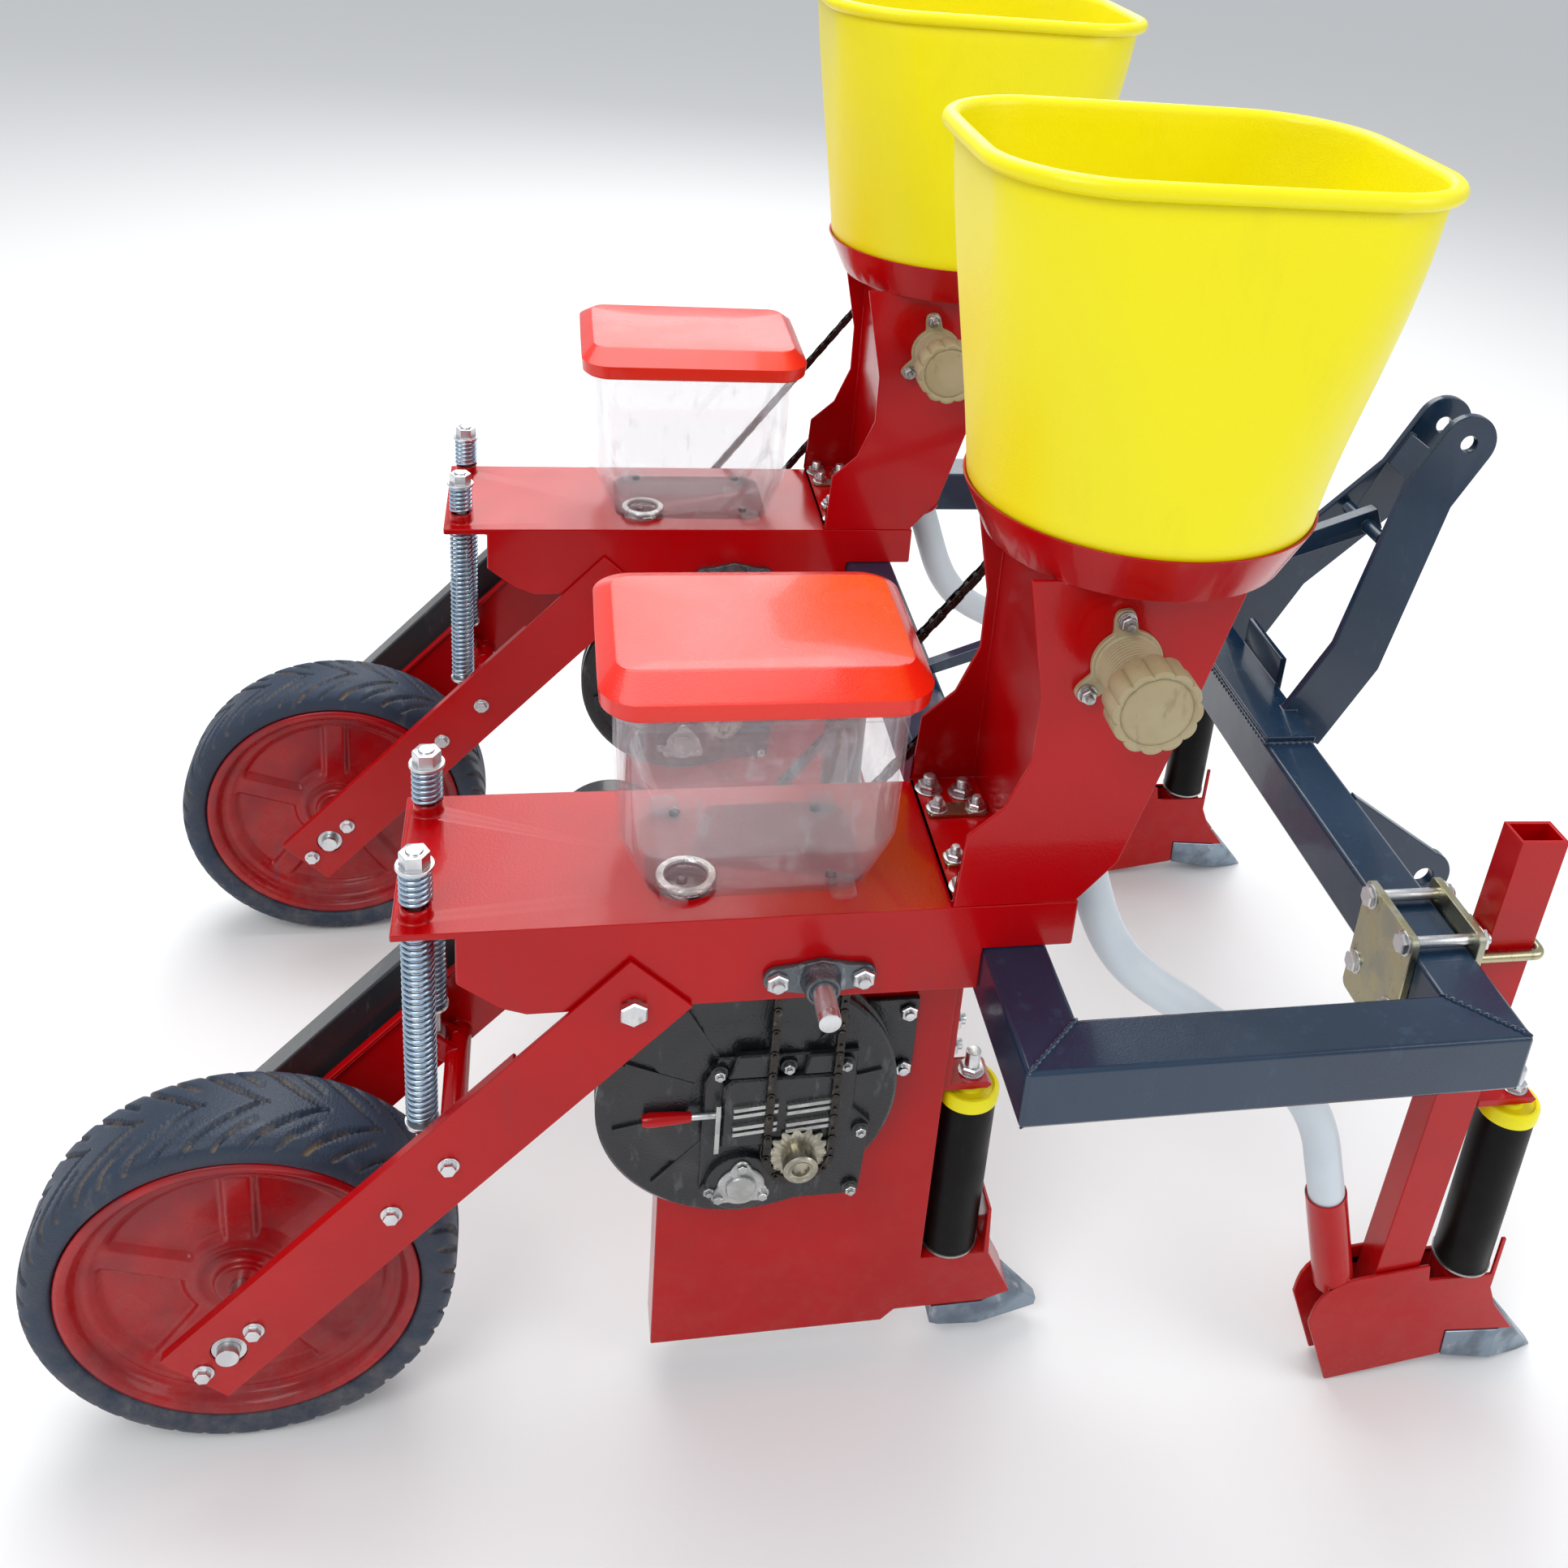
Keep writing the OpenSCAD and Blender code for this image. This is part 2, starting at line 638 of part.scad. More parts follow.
module fert_opener(i) {
    boot = concat([for (a = [92:14:176]) [532 + 47 * cos(a), 106 + 47 * sin(a)]],
        [[484, 94], [521, 4], [654, 24], [652, 60], [735, 52], [704, 92], [692, 120], [692, 192],
        [687, 192], [687, 140], [614, 140], [610, 162]]);
    d = fert_tube[1] - fert_tube[0];
    translate([0, fert_y[i], 0]) color([0.72, 0.07, 0.09]) {
        difference() {
            translate([548, 0, 100]) rotate([0, shank_lean, 0])
                translate([0, -shank[1] / 2, 0]) cube([shank[0], shank[1], 606]);
            translate([552, 0, 110]) rotate([0, shank_lean, 0])
                translate([0, -shank[1] / 2 + 4, 0]) cube([shank[0] - 8, shank[1] - 8, 700]);
            translate([500, -50, 0]) cube([200, 100, 104]);
        }
        for (s = [-1, 1]) yplate(boot, s > 0 ? 18 : -22, s > 0 ? 22 : -18);
        difference() {
            yplate([[638, 120], [684, 120], [684, 138], [638, 138]], -18, 18);
            translate([fert_roller_x, 0, 100]) cylinder(r = 8, h = 60);
        }
        translate([fert_tube[0][0], 0, fert_tube[0][1]])
            rotate([0, 180 - atan2(d[0], -d[1]), 0]) difference() {
                cylinder(r = 17.5 + 4, h = norm(d));
                translate([0, 0, -1]) cylinder(r = 19.5, h = norm(d) + 2);
            }
    }
}

// Bolts and strips that hold the unit on the rear tube.
module unit_bolts() {
    color("silver") for (y = unit_y) translate([0, y, 0]) {
        // bolts that clamp the stand and the beam on the rear tube
        for (s = [-1, 1], p = [[85, 68], [54, 76]]) zbolt([p[0], s * p[1], beam_top + plate]);
        // strips that hold the stand's foot, with their studs
        for (s = [-1, 1]) {
            translate([44, s * 38 - 10, beam_top + plate]) cube([58, 20, 4]);
            for (x = [54, 92]) zbolt([x, s * 38, beam_top + plate + 4], 5);
        }
        // bolts between the metering housing and the opener
        for (z = [408, 476]) ybolt([30, z], -32, -1, 5);
    }
}

// Clamps of the fertilizer openers, with the bolts of the whole frame.
module frame_clamps() {
    unit_bolts();
    for (y = fert_y) translate([0, y, 0]) {
        color([0.8, 0.75, 0.5]) {
            // rear clamp plate
            translate([frame_x1 - tube - 8, -48, 494]) cube([8, 96, 128]);
            // front saddle plate
            translate([frame_x1, -48, 494]) cube([8, 96, 128]);
            translate([frame_x1 + 8, -18, 558]) cube([24, 36, 40]);
        }
        color("silver") {
            // four clamp bolts above and below the tube
            for (s = [-1, 1], z = [frame_top + 9, frame_low - 9])
                translate([frame_x1 - tube - 8, s * 34, z]) rotate([0, 90, 0]) {
                    translate([0, 0, -8]) cylinder(r = 11, h = 8, $fn = 6);
                    cylinder(r = 6, h = tube + 28);
                    translate([0, 0, tube + 16]) cylinder(r = 10, h = 8, $fn = 6);
                }
            // U-bolt round the shank
            translate([frame_x1 + 8, 0, 578]) {
                for (s = [-1, 1]) translate([0, s * 24, 0]) rotate([0, 90, 0])
                    cylinder(r = 5, h = 82);
                translate([82, -29, 0]) rotate([-90, 0, 0]) cylinder(r = 5, h = 58);
            }
        }
    }
}

// ---------- fertilizer hopper and metering ----------

// One ring of the hopper's wall: round at the pan, a rounded rectangle at the rim.
function hopper_ring(z, t) =
    let (u = (z - pan_top) / (hopper_top - pan_top),
        w = pan_r + (hopper_x / 2 - pan_r) * u, d = pan_r + (hopper_y / 2 - pan_r) * u)
    rounded(hop_x + 3 * u, z, w - t, d - t, min(w, d) - t - 57 * min(1, u * 1.4));

module hopper(i) {
    levels = [pan_top, 1075, 1150, 1225, hopper_top - 14];
    lip = function (z) rounded(hop_x + 3, z, hopper_x / 2 + 8, hopper_y / 2 + 8, 98);
    neck = function (r, z) rounded(hop_x, z, r, r, r);
    translate([0, unit_y[i], 0]) color([0.95, 0.92, 0.02]) ring_skin(concat(
        [neck(pan_r - 4.5, pan_top - 8)], [for (z = levels) hopper_ring(z, 0)],
        [lip(hopper_top - 12), lip(hopper_top)],
        [for (k = [4:-1:0]) hopper_ring(k == 4 ? hopper_top : levels[k], 4)],
        [neck(60, pan_top - 4), neck(60, pan_top - 8)]));
}

module hopper_stand(i) {
    side = [[70, pan_low], [93, 860], [93, 800], [74, 752], [44, 724], [40, beam_top], [152, beam_top],
        [186, 690], [206, 760], [228, 840], [262, pan_low]];
    translate([0, unit_y[i], 0]) color([0.74, 0.05, 0.05]) {
        difference() {
            union() {
                for (s = [-1, 1]) yplate(side, s > 0 ? stand_y - 4 : -stand_y,
                    s > 0 ? stand_y : -stand_y + 4);
                // rear and front webs
                yplate([[104, pan_low], [104, beam_top], [108, beam_top], [108, pan_low]], -95, 95);
                yplate([[258, pan_low], [224, 840], [202, 760], [182, 690], [178, 690], [198, 760],
                        [220, 840], [254, pan_low]], -95, 95);
                translate([40, -95, beam_top]) cube([66, 190, 4]);
                // hose outlet
                translate([178, 0, 668]) rotate([0, 160, 0]) cylinder(r = 24, h = 34);
            }
            yrod(dose, -200, 0, 12);
            yrod(dose, 0, 200, shaft_r + run);
            translate([178, 0, 672]) rotate([0, 160, 0]) cylinder(r = 19.5, h = 60);
        }
        // pan that the hopper stands in
        translate([hop_x, 0, 0]) rotate_extrude($fn = 96)
            polygon([[60, pan_low - 3], [131, pan_low - 3], [153.5, pan_top], [150.5, pan_top],
                    [130, pan_low + 3], [60, pan_low + 3]]);
    }
}

module dose_rotor(i) {
    translate([0, unit_y[i], 0]) color("silver") {
        yrod(dose, -150, 124, shaft_r);
        sprocket(dose, 116, 36);
        yrod(dose, -70, 70, 32);
    }
}

ear_angles = [100, 220, 340];
ear_reach = 42;

module adjuster_bases() {
    color([0.66, 0.6, 0.47]) for (y = unit_y) translate([0, y, 0]) {
        difference() {
            union() {
                for (a = ear_angles)
                    ybar(dose, dose + ear_reach * [cos(a), sin(a)], 11, -stand_y - 6, -stand_y);
                yrod(dose, -142, -stand_y, 27);
            }
            yrod(dose, -200, 0, shaft_r + run);
        }
    }
    color("silver") for (y = unit_y, a = ear_angles)
        translate([0, y, 0]) ybolt(dose + ear_reach * [cos(a), sin(a)], -stand_y - 6, -1, 7);
}

module adjuster_cap(i) {
    lobes = 12;
    translate([0, unit_y[i], 0]) color([0.66, 0.6, 0.47]) difference() {
        union() {
            yrod(dose, -182, -150, 35);
            for (k = [0:lobes - 1]) let (a = 360 * k / lobes)
                yrod(dose + 34 * [cos(a), sin(a)], -180, -152, 4.5);
            yrod(dose, -152, -143, 30);
        }
        yrod(dose, -155, -100, 28);
        yrod(dose, -174, -100, shaft_r + run);
    }
}

// ---------- hoses ----------

// Points along each hose, from the stand's outlet to the opener's tube.
hose_path = [
    [187, 0, 640], [198, 0, 611], [208, -1, 583], [219, -4, 554], [233, -9, 527], [252, -15, 503],
    [276, -24, 484], [302, -33, 469], [329, -44, 453], [355, -54, 438], [382, -65, 423],
    [407, -74, 407], [430, -83, 385], [447, -89, 360], [459, -94, 332], [467, -97, 302],
    [475, -98, 274], [483, -98, 244]];

// Side offset of a hose point: the route drifts from the stand to its own opener.
function hose_point(i, p) = [p[0], unit_y[i] + p[1] / -98 * (fert_y[i] - unit_y[i]), p[2]];

function unit(v) = v / norm(v);

module fert_hose(i) {
    r = hose_d / 2;
    m = 12;
    k = len(hose_path);
    path = [for (p = hose_path) hose_point(i, p)];
    ring = function (j)
        let (t = unit(path[min(j + 1, k - 1)] - path[max(j - 1, 0)]),
            u = unit(cross(t, [0, 1, 0])), v = cross(t, u))
        [for (a = [0:m - 1]) path[j] + r * (cos(360 * a / m) * u + sin(360 * a / m) * v)];
    color([0.85, 0.88, 0.9]) polyhedron(
        points = [for (j = [0:k - 1]) each ring(j)],
        faces = concat(
            [for (j = [0:k - 2], a = [0:m - 1]) let (p = j * m + a, q = j * m + (a + 1) % m)
                each [[p, q, q + m], [p, q + m, p + m]]],
            [[for (a = [m - 1:-1:0]) a]], [[for (a = [0:m - 1]) (k - 1) * m + a]]));
}

// ---------- assembly ----------

main_frame();
hitch_mast();
unit_beam(0);  // unit_beam_r
unit_beam(1);  // unit_beam_l
seed_box(0);  // seed_box_r
seed_box(1);  // seed_box_l
meter_housing(0);  // meter_housing_r
meter_housing(1);  // meter_housing_l
shaft_bearings();
seed_opener(0);  // seed_opener_r
seed_opener(1);  // seed_opener_l
opener_points();
roller_rods();
hopper(0);  // hopper_r
hopper(1);  // hopper_l
hopper_stand(0);  // hopper_stand_r
hopper_stand(1);  // hopper_stand_l
adjuster_bases();
fert_opener(0);  // fert_opener_r
fert_opener(1);  // fert_opener_l
frame_clamps();
fert_hose(0);  // fert_hose_r
fert_hose(1);  // fert_hose_l
drive_chains();
wheel_arms(0);  // wheel_arms_r
wheel_arms(1);  // wheel_arms_l
arm_hardware(0);  // arm_hardware_r
arm_hardware(1);  // arm_hardware_l
chain_case(0);  // chain_case_r
chain_case(1);  // chain_case_l
wheel_chain(0);  // wheel_chain_r
wheel_chain(1);  // wheel_chain_l
axle_shaft(0);  // axle_r
axle_shaft(1);  // axle_l
wheel_rim(0);  // wheel_rim_r
wheel_rim(1);  // wheel_rim_l
tyre(0);  // tyre_r
tyre(1);  // tyre_l
spring_rods(0);  // spring_rods_r
spring_rods(1);  // spring_rods_l
springs(0);  // springs_r
springs(1);  // springs_l
rebound_springs(0);  // rebound_springs_r
rebound_springs(1);  // rebound_springs_l
pivot_shaft(0);  // pivot_shaft_r
pivot_shaft(1);  // pivot_shaft_l
drive_shaft(0);  // drive_shaft_r
drive_shaft(1);  // drive_shaft_l
meter_rotor(0);  // meter_rotor_r
meter_rotor(1);  // meter_rotor_l
dose_rotor(0);  // dose_rotor_r
dose_rotor(1);  // dose_rotor_l
seed_lid(0);  // seed_lid_r
seed_lid(1);  // seed_lid_l
adjuster_cap(0);  // adjuster_cap_r
adjuster_cap(1);  // adjuster_cap_l
seed_roller(0);  // seed_roller_r
seed_roller(1);  // seed_roller_l
fert_roller(0);  // fert_roller_r
fert_roller(1);  // fert_roller_l
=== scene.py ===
"""Looks of a two-row mounted corn planter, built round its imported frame.

X points forward to the tractor, Y to the left and Z up, all in metres. Places
come from the frame's nodes; sizes are the fields of the classes below.
"""

from __future__ import annotations

import json
import logging
import math
from dataclasses import dataclass, field
from enum import Enum
from typing import Iterable, Sequence

import bmesh
import bpy
import numpy as np
from mathutils import Matrix, Vector

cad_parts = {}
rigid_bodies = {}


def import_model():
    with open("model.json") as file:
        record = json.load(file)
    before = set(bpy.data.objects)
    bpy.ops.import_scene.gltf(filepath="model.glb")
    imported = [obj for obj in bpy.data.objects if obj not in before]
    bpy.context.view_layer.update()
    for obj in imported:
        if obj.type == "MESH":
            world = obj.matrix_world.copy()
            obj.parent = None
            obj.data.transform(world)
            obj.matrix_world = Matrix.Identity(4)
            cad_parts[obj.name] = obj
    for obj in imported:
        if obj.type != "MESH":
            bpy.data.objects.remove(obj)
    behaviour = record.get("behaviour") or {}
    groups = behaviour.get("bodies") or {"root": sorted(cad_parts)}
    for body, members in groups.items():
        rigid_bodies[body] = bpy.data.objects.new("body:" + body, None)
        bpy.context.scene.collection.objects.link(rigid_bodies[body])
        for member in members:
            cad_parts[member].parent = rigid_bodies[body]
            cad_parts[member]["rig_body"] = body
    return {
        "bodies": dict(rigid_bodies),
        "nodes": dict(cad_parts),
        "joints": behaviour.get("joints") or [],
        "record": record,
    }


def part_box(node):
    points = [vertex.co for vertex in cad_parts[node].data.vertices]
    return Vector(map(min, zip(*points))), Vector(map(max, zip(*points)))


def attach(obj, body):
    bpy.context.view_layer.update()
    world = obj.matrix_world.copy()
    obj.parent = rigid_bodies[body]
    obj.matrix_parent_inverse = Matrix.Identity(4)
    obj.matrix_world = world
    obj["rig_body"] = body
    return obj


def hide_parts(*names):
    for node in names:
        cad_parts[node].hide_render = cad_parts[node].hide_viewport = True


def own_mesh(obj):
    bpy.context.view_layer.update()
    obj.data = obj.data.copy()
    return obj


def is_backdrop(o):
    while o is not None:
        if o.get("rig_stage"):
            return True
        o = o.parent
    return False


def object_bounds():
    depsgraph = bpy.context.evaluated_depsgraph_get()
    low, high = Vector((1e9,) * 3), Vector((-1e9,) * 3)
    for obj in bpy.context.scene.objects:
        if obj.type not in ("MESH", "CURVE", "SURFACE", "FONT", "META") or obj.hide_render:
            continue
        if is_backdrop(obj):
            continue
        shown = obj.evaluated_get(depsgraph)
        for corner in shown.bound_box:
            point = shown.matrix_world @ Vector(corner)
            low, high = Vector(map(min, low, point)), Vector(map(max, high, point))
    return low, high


LOG = logging.getLogger("planter")
TURN = 2 * math.pi
MERGE = 2e-6
SHARP_STEEL = 32.0
Array = np.ndarray
Colour = tuple[float, float, float]
Spot = tuple[float, float]


class Slot(str, Enum):
    """Material slots of the record."""

    RED = "red_paint"
    NAVY = "navy_paint"
    ZINC = "zinc"
    YELLOW_ZINC = "yellow_zinc"
    SPRING = "spring_steel"
    BLACK_STEEL = "black_steel"
    CASE = "dark_case"
    CAST = "cast_dark"
    TAN = "tan_plastic"
    YELLOW = "yellow_plastic"
    LID = "lid_plastic"
    CLEAR = "clear_plastic"
    BLACK = "black_plastic"
    ROLLER = "roller_rubber"
    TYRE = "tyre_rubber"
    HOSE = "hose_plastic"
    POINT = "point_steel"


class Axis(Enum):
    """Direction of a turned part, as the order that puts (a, b, along) into X, Y, Z."""

    X = (1, 2, 0)
    Y = (0, 2, 1)
    Z = (0, 1, 2)


# ---------------------------------------------------------------- shapes


def rows_to_quads(rows: int, cols: int, wrap_rows: bool, wrap_cols: bool) -> Array:
    """Quads of a grid whose point (i, j) has the number i * cols + j.

    Args:
        rows: Number of rows of points.
        cols: Number of points in a row.
        wrap_rows: Whether the last row joins the first.
        wrap_cols: Whether the last point of a row joins its first.

    Returns:
        One row of four point numbers for each quad.
    """
    i, j = np.meshgrid(
        np.arange(rows if wrap_rows else rows - 1),
        np.arange(cols if wrap_cols else cols - 1),
        indexing="ij",
    )
    k, m = (i + 1) % rows, (j + 1) % cols
    return np.stack([i * cols + j, i * cols + m, k * cols + m, k * cols + j], -1).reshape(-1, 4)


@dataclass
class Shape:
    """Points and faces of a surface before it becomes a mesh."""

    points: Array
    quads: Array
    caps: list[list[int]] = field(default_factory=list)

    @classmethod
    def grid(cls, points: Array, wrap_rows: bool = False, wrap_cols: bool = True) -> "Shape":
        """A surface through a grid of points; open ends of a tube get a flat cap.

        Args:
            points: Array of rows x cols x 3.
            wrap_rows: Whether the last row joins the first.
            wrap_cols: Whether each row is a closed ring.

        Returns:
            The surface.
        """
        rows, cols = points.shape[:2]
        quads = rows_to_quads(rows, cols, wrap_rows, wrap_cols)
        caps = []
        if wrap_cols and not wrap_rows:
            last = (rows - 1) * cols
            caps = [list(range(cols))[::-1], list(range(last, last + cols))]
        return cls(points.reshape(-1, 3), quads, caps)

    def __add__(self, other: "Shape") -> "Shape":
        """Both surfaces as one."""
        n = len(self.points)
        return Shape(
            np.vstack([self.points, other.points]),
            np.vstack([self.quads, other.quads + n]),
            self.caps + [[k + n for k in cap] for cap in other.caps],
        )

    def moved(self, x: float = 0.0, y: float = 0.0, z: float = 0.0) -> "Shape":
        """The surface shifted along the three axes."""
        return Shape(self.points + np.array([x, y, z]), self.quads, self.caps)


def together(shapes: Iterable[Shape]) -> Shape:
    """All the surfaces as one."""
    shapes = list(shapes)
    out = shapes[0]
    for shape in shapes[1:]:
        out = out + shape
    return out


def angles(count: int) -> Array:
    """Even angles round a circle, the first 0."""
    return np.arange(count) * TURN / count


def circle(count: int, start: float = 0.0) -> Array:
    """Unit circle as count points, the first at angle start."""
    a = start + angles(count)
    return np.stack([np.cos(a), np.sin(a)], -1)


def place(flat: Array, along: Array, axis: Axis) -> Array:
    """Points from two flat coordinates and one along the axis of a turned part.

    Args:
        flat: Array of ... x 2, across the axis.
        along: Array of ..., along the axis.
        axis: Direction of the axis.

    Returns:
        Array of ... x 3 in X, Y, Z.
    """
    out = np.zeros(flat.shape[:-1] + (3,))
    out[..., axis.value[0]] = flat[..., 0]
    out[..., axis.value[1]] = flat[..., 1]
    out[..., axis.value[2]] = along
    return out


def lathe(
    profile: Sequence[Spot],
    centre: Sequence[float],
    axis: Axis = Axis.Y,
    count: int = 48,
    closed: bool = False,
) -> Shape:
    """A profile of (radius, along) points turned round an axis.

    Args:
        profile: Points from one end to the other, or round a closed section.
        centre: Point on the axis where along is 0.
        axis: Direction of the axis.
        count: Points round the axis.
        closed: Whether the last point of the profile joins the first.

    Returns:
        The turned surface.
    """
    p = np.asarray(profile, float)
    flat = p[:, None, 0, None] * circle(count)[None]
    along = np.repeat(p[:, 1, None], count, 1)
    return Shape.grid(place(flat, along, axis) + np.asarray(centre, float), wrap_rows=closed)


def rod(centre: Sequence[float], low: float, high: float, radius: float, axis: Axis = Axis.Y,
        count: int = 32, edge: float = 0.0006) -> Shape:
    """A round bar with rounded rims between two places along its axis.

    Args:
        centre: Point on the axis where the places are measured from.
        low: Place of the first end.
        high: Place of the other end.
        radius: Radius of the bar.
        axis: Direction of the bar.
        count: Points round it.
        edge: Size of the rounded rim.

    Returns:
        The bar.
    """
    e = edge
    profile = [(radius - e, low), (radius - 0.3 * e, low + 0.3 * e), (radius, low + e),
               (radius, high - e), (radius - 0.3 * e, high - 0.3 * e), (radius - e, high)]
    return lathe(profile, centre, axis, count)


def prism(outline: Array, low: float, high: float, axis: Axis, edge: float = 0.0) -> Shape:
    """A flat outline pushed along an axis, with its rims drawn in by edge.

    Args:
        outline: Points across the axis, in order.
        low: Place of the first face.
        high: Place of the other face.
        axis: Direction of the push.
        edge: Size of the bevel on both rims.

    Returns:
        The solid.
    """
    middle = outline.mean(0)
    reach = np.linalg.norm(outline - middle, axis=1, keepdims=True)
    small = middle + (outline - middle) * (1 - edge / reach)
    rings = [(small, low), (outline, low + edge), (outline, high - edge), (small, high)]
    if edge == 0:
        rings = [(outline, low), (outline, high)]
    return Shape.grid(np.stack([place(f, np.full(len(f), a), axis) for f, a in rings]))


def tube(path: Array, radius: float | Array, sides: int, across: Sequence[float]) -> Shape:
    """A round tube along a path that never runs along the given direction.

    Each ring stands square to the path: its first arm is the path's direction
    crossed with the given one, and its second completes the right angle.

    Args:
        path: Points along the middle line.
        radius: Radius, or one for each point.
        sides: Points round the tube.
        across: Direction that the path is crossed with.

    Returns:
        The tube with flat ends.
    """
    along = np.gradient(path, axis=0)
    along /= np.linalg.norm(along, axis=1, keepdims=True)
    u = np.cross(along, np.asarray(across, float))
    u /= np.linalg.norm(u, axis=1, keepdims=True)
    v = np.cross(along, u)
    c = circle(sides)
    r = np.broadcast_to(np.asarray(radius, float), (len(path),))[:, None, None]
    ring = c[None, :, 0, None] * u[:, None] + c[None, :, 1, None] * v[:, None]
    return Shape.grid(path[:, None] + r * ring)


def smooth_path(points: Array, per_span: int) -> Array:
    """A curve through the points: on each span a cubic that keeps its ends' directions.

    Args:
        points: The points to pass through.
        per_span: Points made on each span.

    Returns:
        The points along the curve, with both ends.
    """
    p = np.vstack([2 * points[0] - points[1], points, 2 * points[-1] - points[-2]])
    a, b, c, d = p[:-3, None], p[1:-2, None], p[2:-1, None], p[3:, None]
    t = (np.arange(per_span) / per_span)[None, :, None]
    curve = 0.5 * (2 * b + (c - a) * t + (2 * a - 5 * b + 4 * c - d) * t**2
                   + (3 * b - a - 3 * c + d) * t**3)
    return np.vstack([curve.reshape(-1, points.shape[1]), points[-1:]])


def resample(points: Array, spacing: float) -> Array:
    """The polyline with points about spacing apart, its own corners kept."""
    out = []
    for a, b in zip(points[:-1], points[1:]):
        n = max(1, int(round(np.linalg.norm(b - a) / spacing)))
        out.append(a + (b - a) * (np.arange(n) / n)[:, None])
    return np.vstack(out + [points[-1:]])


def ease(x: Array) -> Array:
    """A smooth step: 0 below 0, 1 above 1, and 3x^2 - 2x^3 between."""
    x = np.clip(x, 0, 1)
    return x * x * (3 - 2 * x)


def soft_rectangle(half_x: float, half_y: float, corner: float, count: int = 144) -> Array:
    """Rounded rectangle: a circle of the corner's radius whose middle slides between the corners.

    The middle is at a corner while the angle is away from the axes, and slides
    to the next corner while the angle passes an axis, so the sides stay almost
    straight with a slight crown.

    Args:
        half_x: Half of its length.
        half_y: Half of its width.
        corner: Radius of its corners.
        count: Number of points.

    Returns:
        The points, count x 2.
    """
    c = circle(count)
    slide = np.sin(np.clip(c * 7, -1, 1) * math.pi / 2)
    return slide * np.array([half_x - corner, half_y - corner]) + corner * c


def loft(rings: Sequence[tuple[float, float, float, float, float]], y: float,
         closed: bool = False, count: int = 144) -> Shape:
    """A skin through level rounded rectangles, each (middle x, z, half x, half y, corner).

    Args:
        rings: The rectangles in order.
        y: Sideways place of all their middles.
        closed: Whether the last ring joins the first.
        count: Points in each ring.

    Returns:
        The skin.
    """
    grid = np.zeros((len(rings), count, 3))
    for k, (x, z, half_x, half_y, corner) in enumerate(rings):
        grid[k, :, :2] = soft_rectangle(half_x, half_y, corner, count) + (x, y)
        grid[k, :, 2] = z
    return Shape.grid(grid, wrap_rows=closed)


def hexagon(radius: float) -> Array:
    """Corners of a hexagon of that outer radius."""
    return circle(6, math.pi / 6) * radius


def nut(centre: Sequence[float], low: float, height: float, radius: float, axis: Axis) -> Shape:
    """A hexagon nut or head: six flats whose rims are cut by a shallow cone.

    Args:
        centre: Point on the axis.
        low: Place of its first face along the axis.
        height: Its height.
        radius: Radius to its corners.
        axis: Direction of its axis.

    Returns:
        The nut.
    """
    c = np.asarray(centre, float)
    return prism(hexagon(radius), low, low + height, axis, edge=radius * 0.12).moved(*c)


# ---------------------------------------------------------------- meshes


def finish_mesh(obj: bpy.types.Object, sharp: float) -> None:
    """Closes seams, turns faces outwards and shades smooth up to an angle.

    Args:
        obj: The piece.
        sharp: Angle in degrees above which an edge stays sharp.
    """
    bm = bmesh.new()
    bm.from_mesh(obj.data)
    bmesh.ops.remove_doubles(bm, verts=bm.verts, dist=MERGE)
    bmesh.ops.recalc_face_normals(bm, faces=bm.faces)
    bm.to_mesh(obj.data)
    bm.free()
    obj.data.shade_smooth()
    obj.data.set_sharp_from_angle(angle=math.radians(sharp))


def add_object(name: str, mesh: bpy.types.Mesh) -> bpy.types.Object:
    """Links a new object for the mesh and returns it."""
    obj = bpy.data.objects.new(name, mesh)
    bpy.context.scene.collection.objects.link(obj)
    return obj


def build(name: str, shape: Shape, sharp: float = 35.0) -> bpy.types.Object:
    """Makes a surface an object at the origin.

    Args:
        name: Name of the piece.
        shape: Its points and faces.
        sharp: Angle in degrees above which an edge stays sharp.

    Returns:
        The object.
    """
    mesh = bpy.data.meshes.new(name)
    mesh.from_pydata(shape.points.tolist(), [], shape.quads.tolist() + shape.caps)
    mesh.validate()
    obj = add_object(name, mesh)
    finish_mesh(obj, sharp)
    return obj


def add_bevel(obj: bpy.types.Object, width: float) -> None:
    """Rounds the sharp edges of a piece in two steps of the given width."""
    bevel = obj.modifiers.new("rounded_edges", "BEVEL")
    bevel.width = width
    bevel.segments = 2
    bevel.limit_method = "ANGLE"
    bevel.angle_limit = math.radians(SHARP_STEEL)
    bevel.use_clamp_overlap = False
    bevel.harden_normals = True


def rounded_copy(node: str, width: float) -> bpy.types.Object:
    """A copy of a CAD node with merged points, clean flats and rounded edges.

    Args:
        node: The CAD node to copy.
        width: Width of the rounding.

    Returns:
        The new piece.
    """
    bm = bmesh.new()
    bm.from_mesh(bpy.data.objects[node].data)
    bmesh.ops.remove_doubles(bm, verts=bm.verts, dist=MERGE)
    bmesh.ops.dissolve_limit(bm, angle_limit=math.radians(0.5), verts=bm.verts, edges=bm.edges)
    mesh = bpy.data.meshes.new(f"{node}_piece")
    bm.to_mesh(mesh)
    bm.free()
    mesh.shade_smooth()
    mesh.set_sharp_from_angle(angle=math.radians(SHARP_STEEL))
    obj = add_object(mesh.name, mesh)
    add_bevel(obj, width)
    return obj


# ---------------------------------------------------------------- finishes


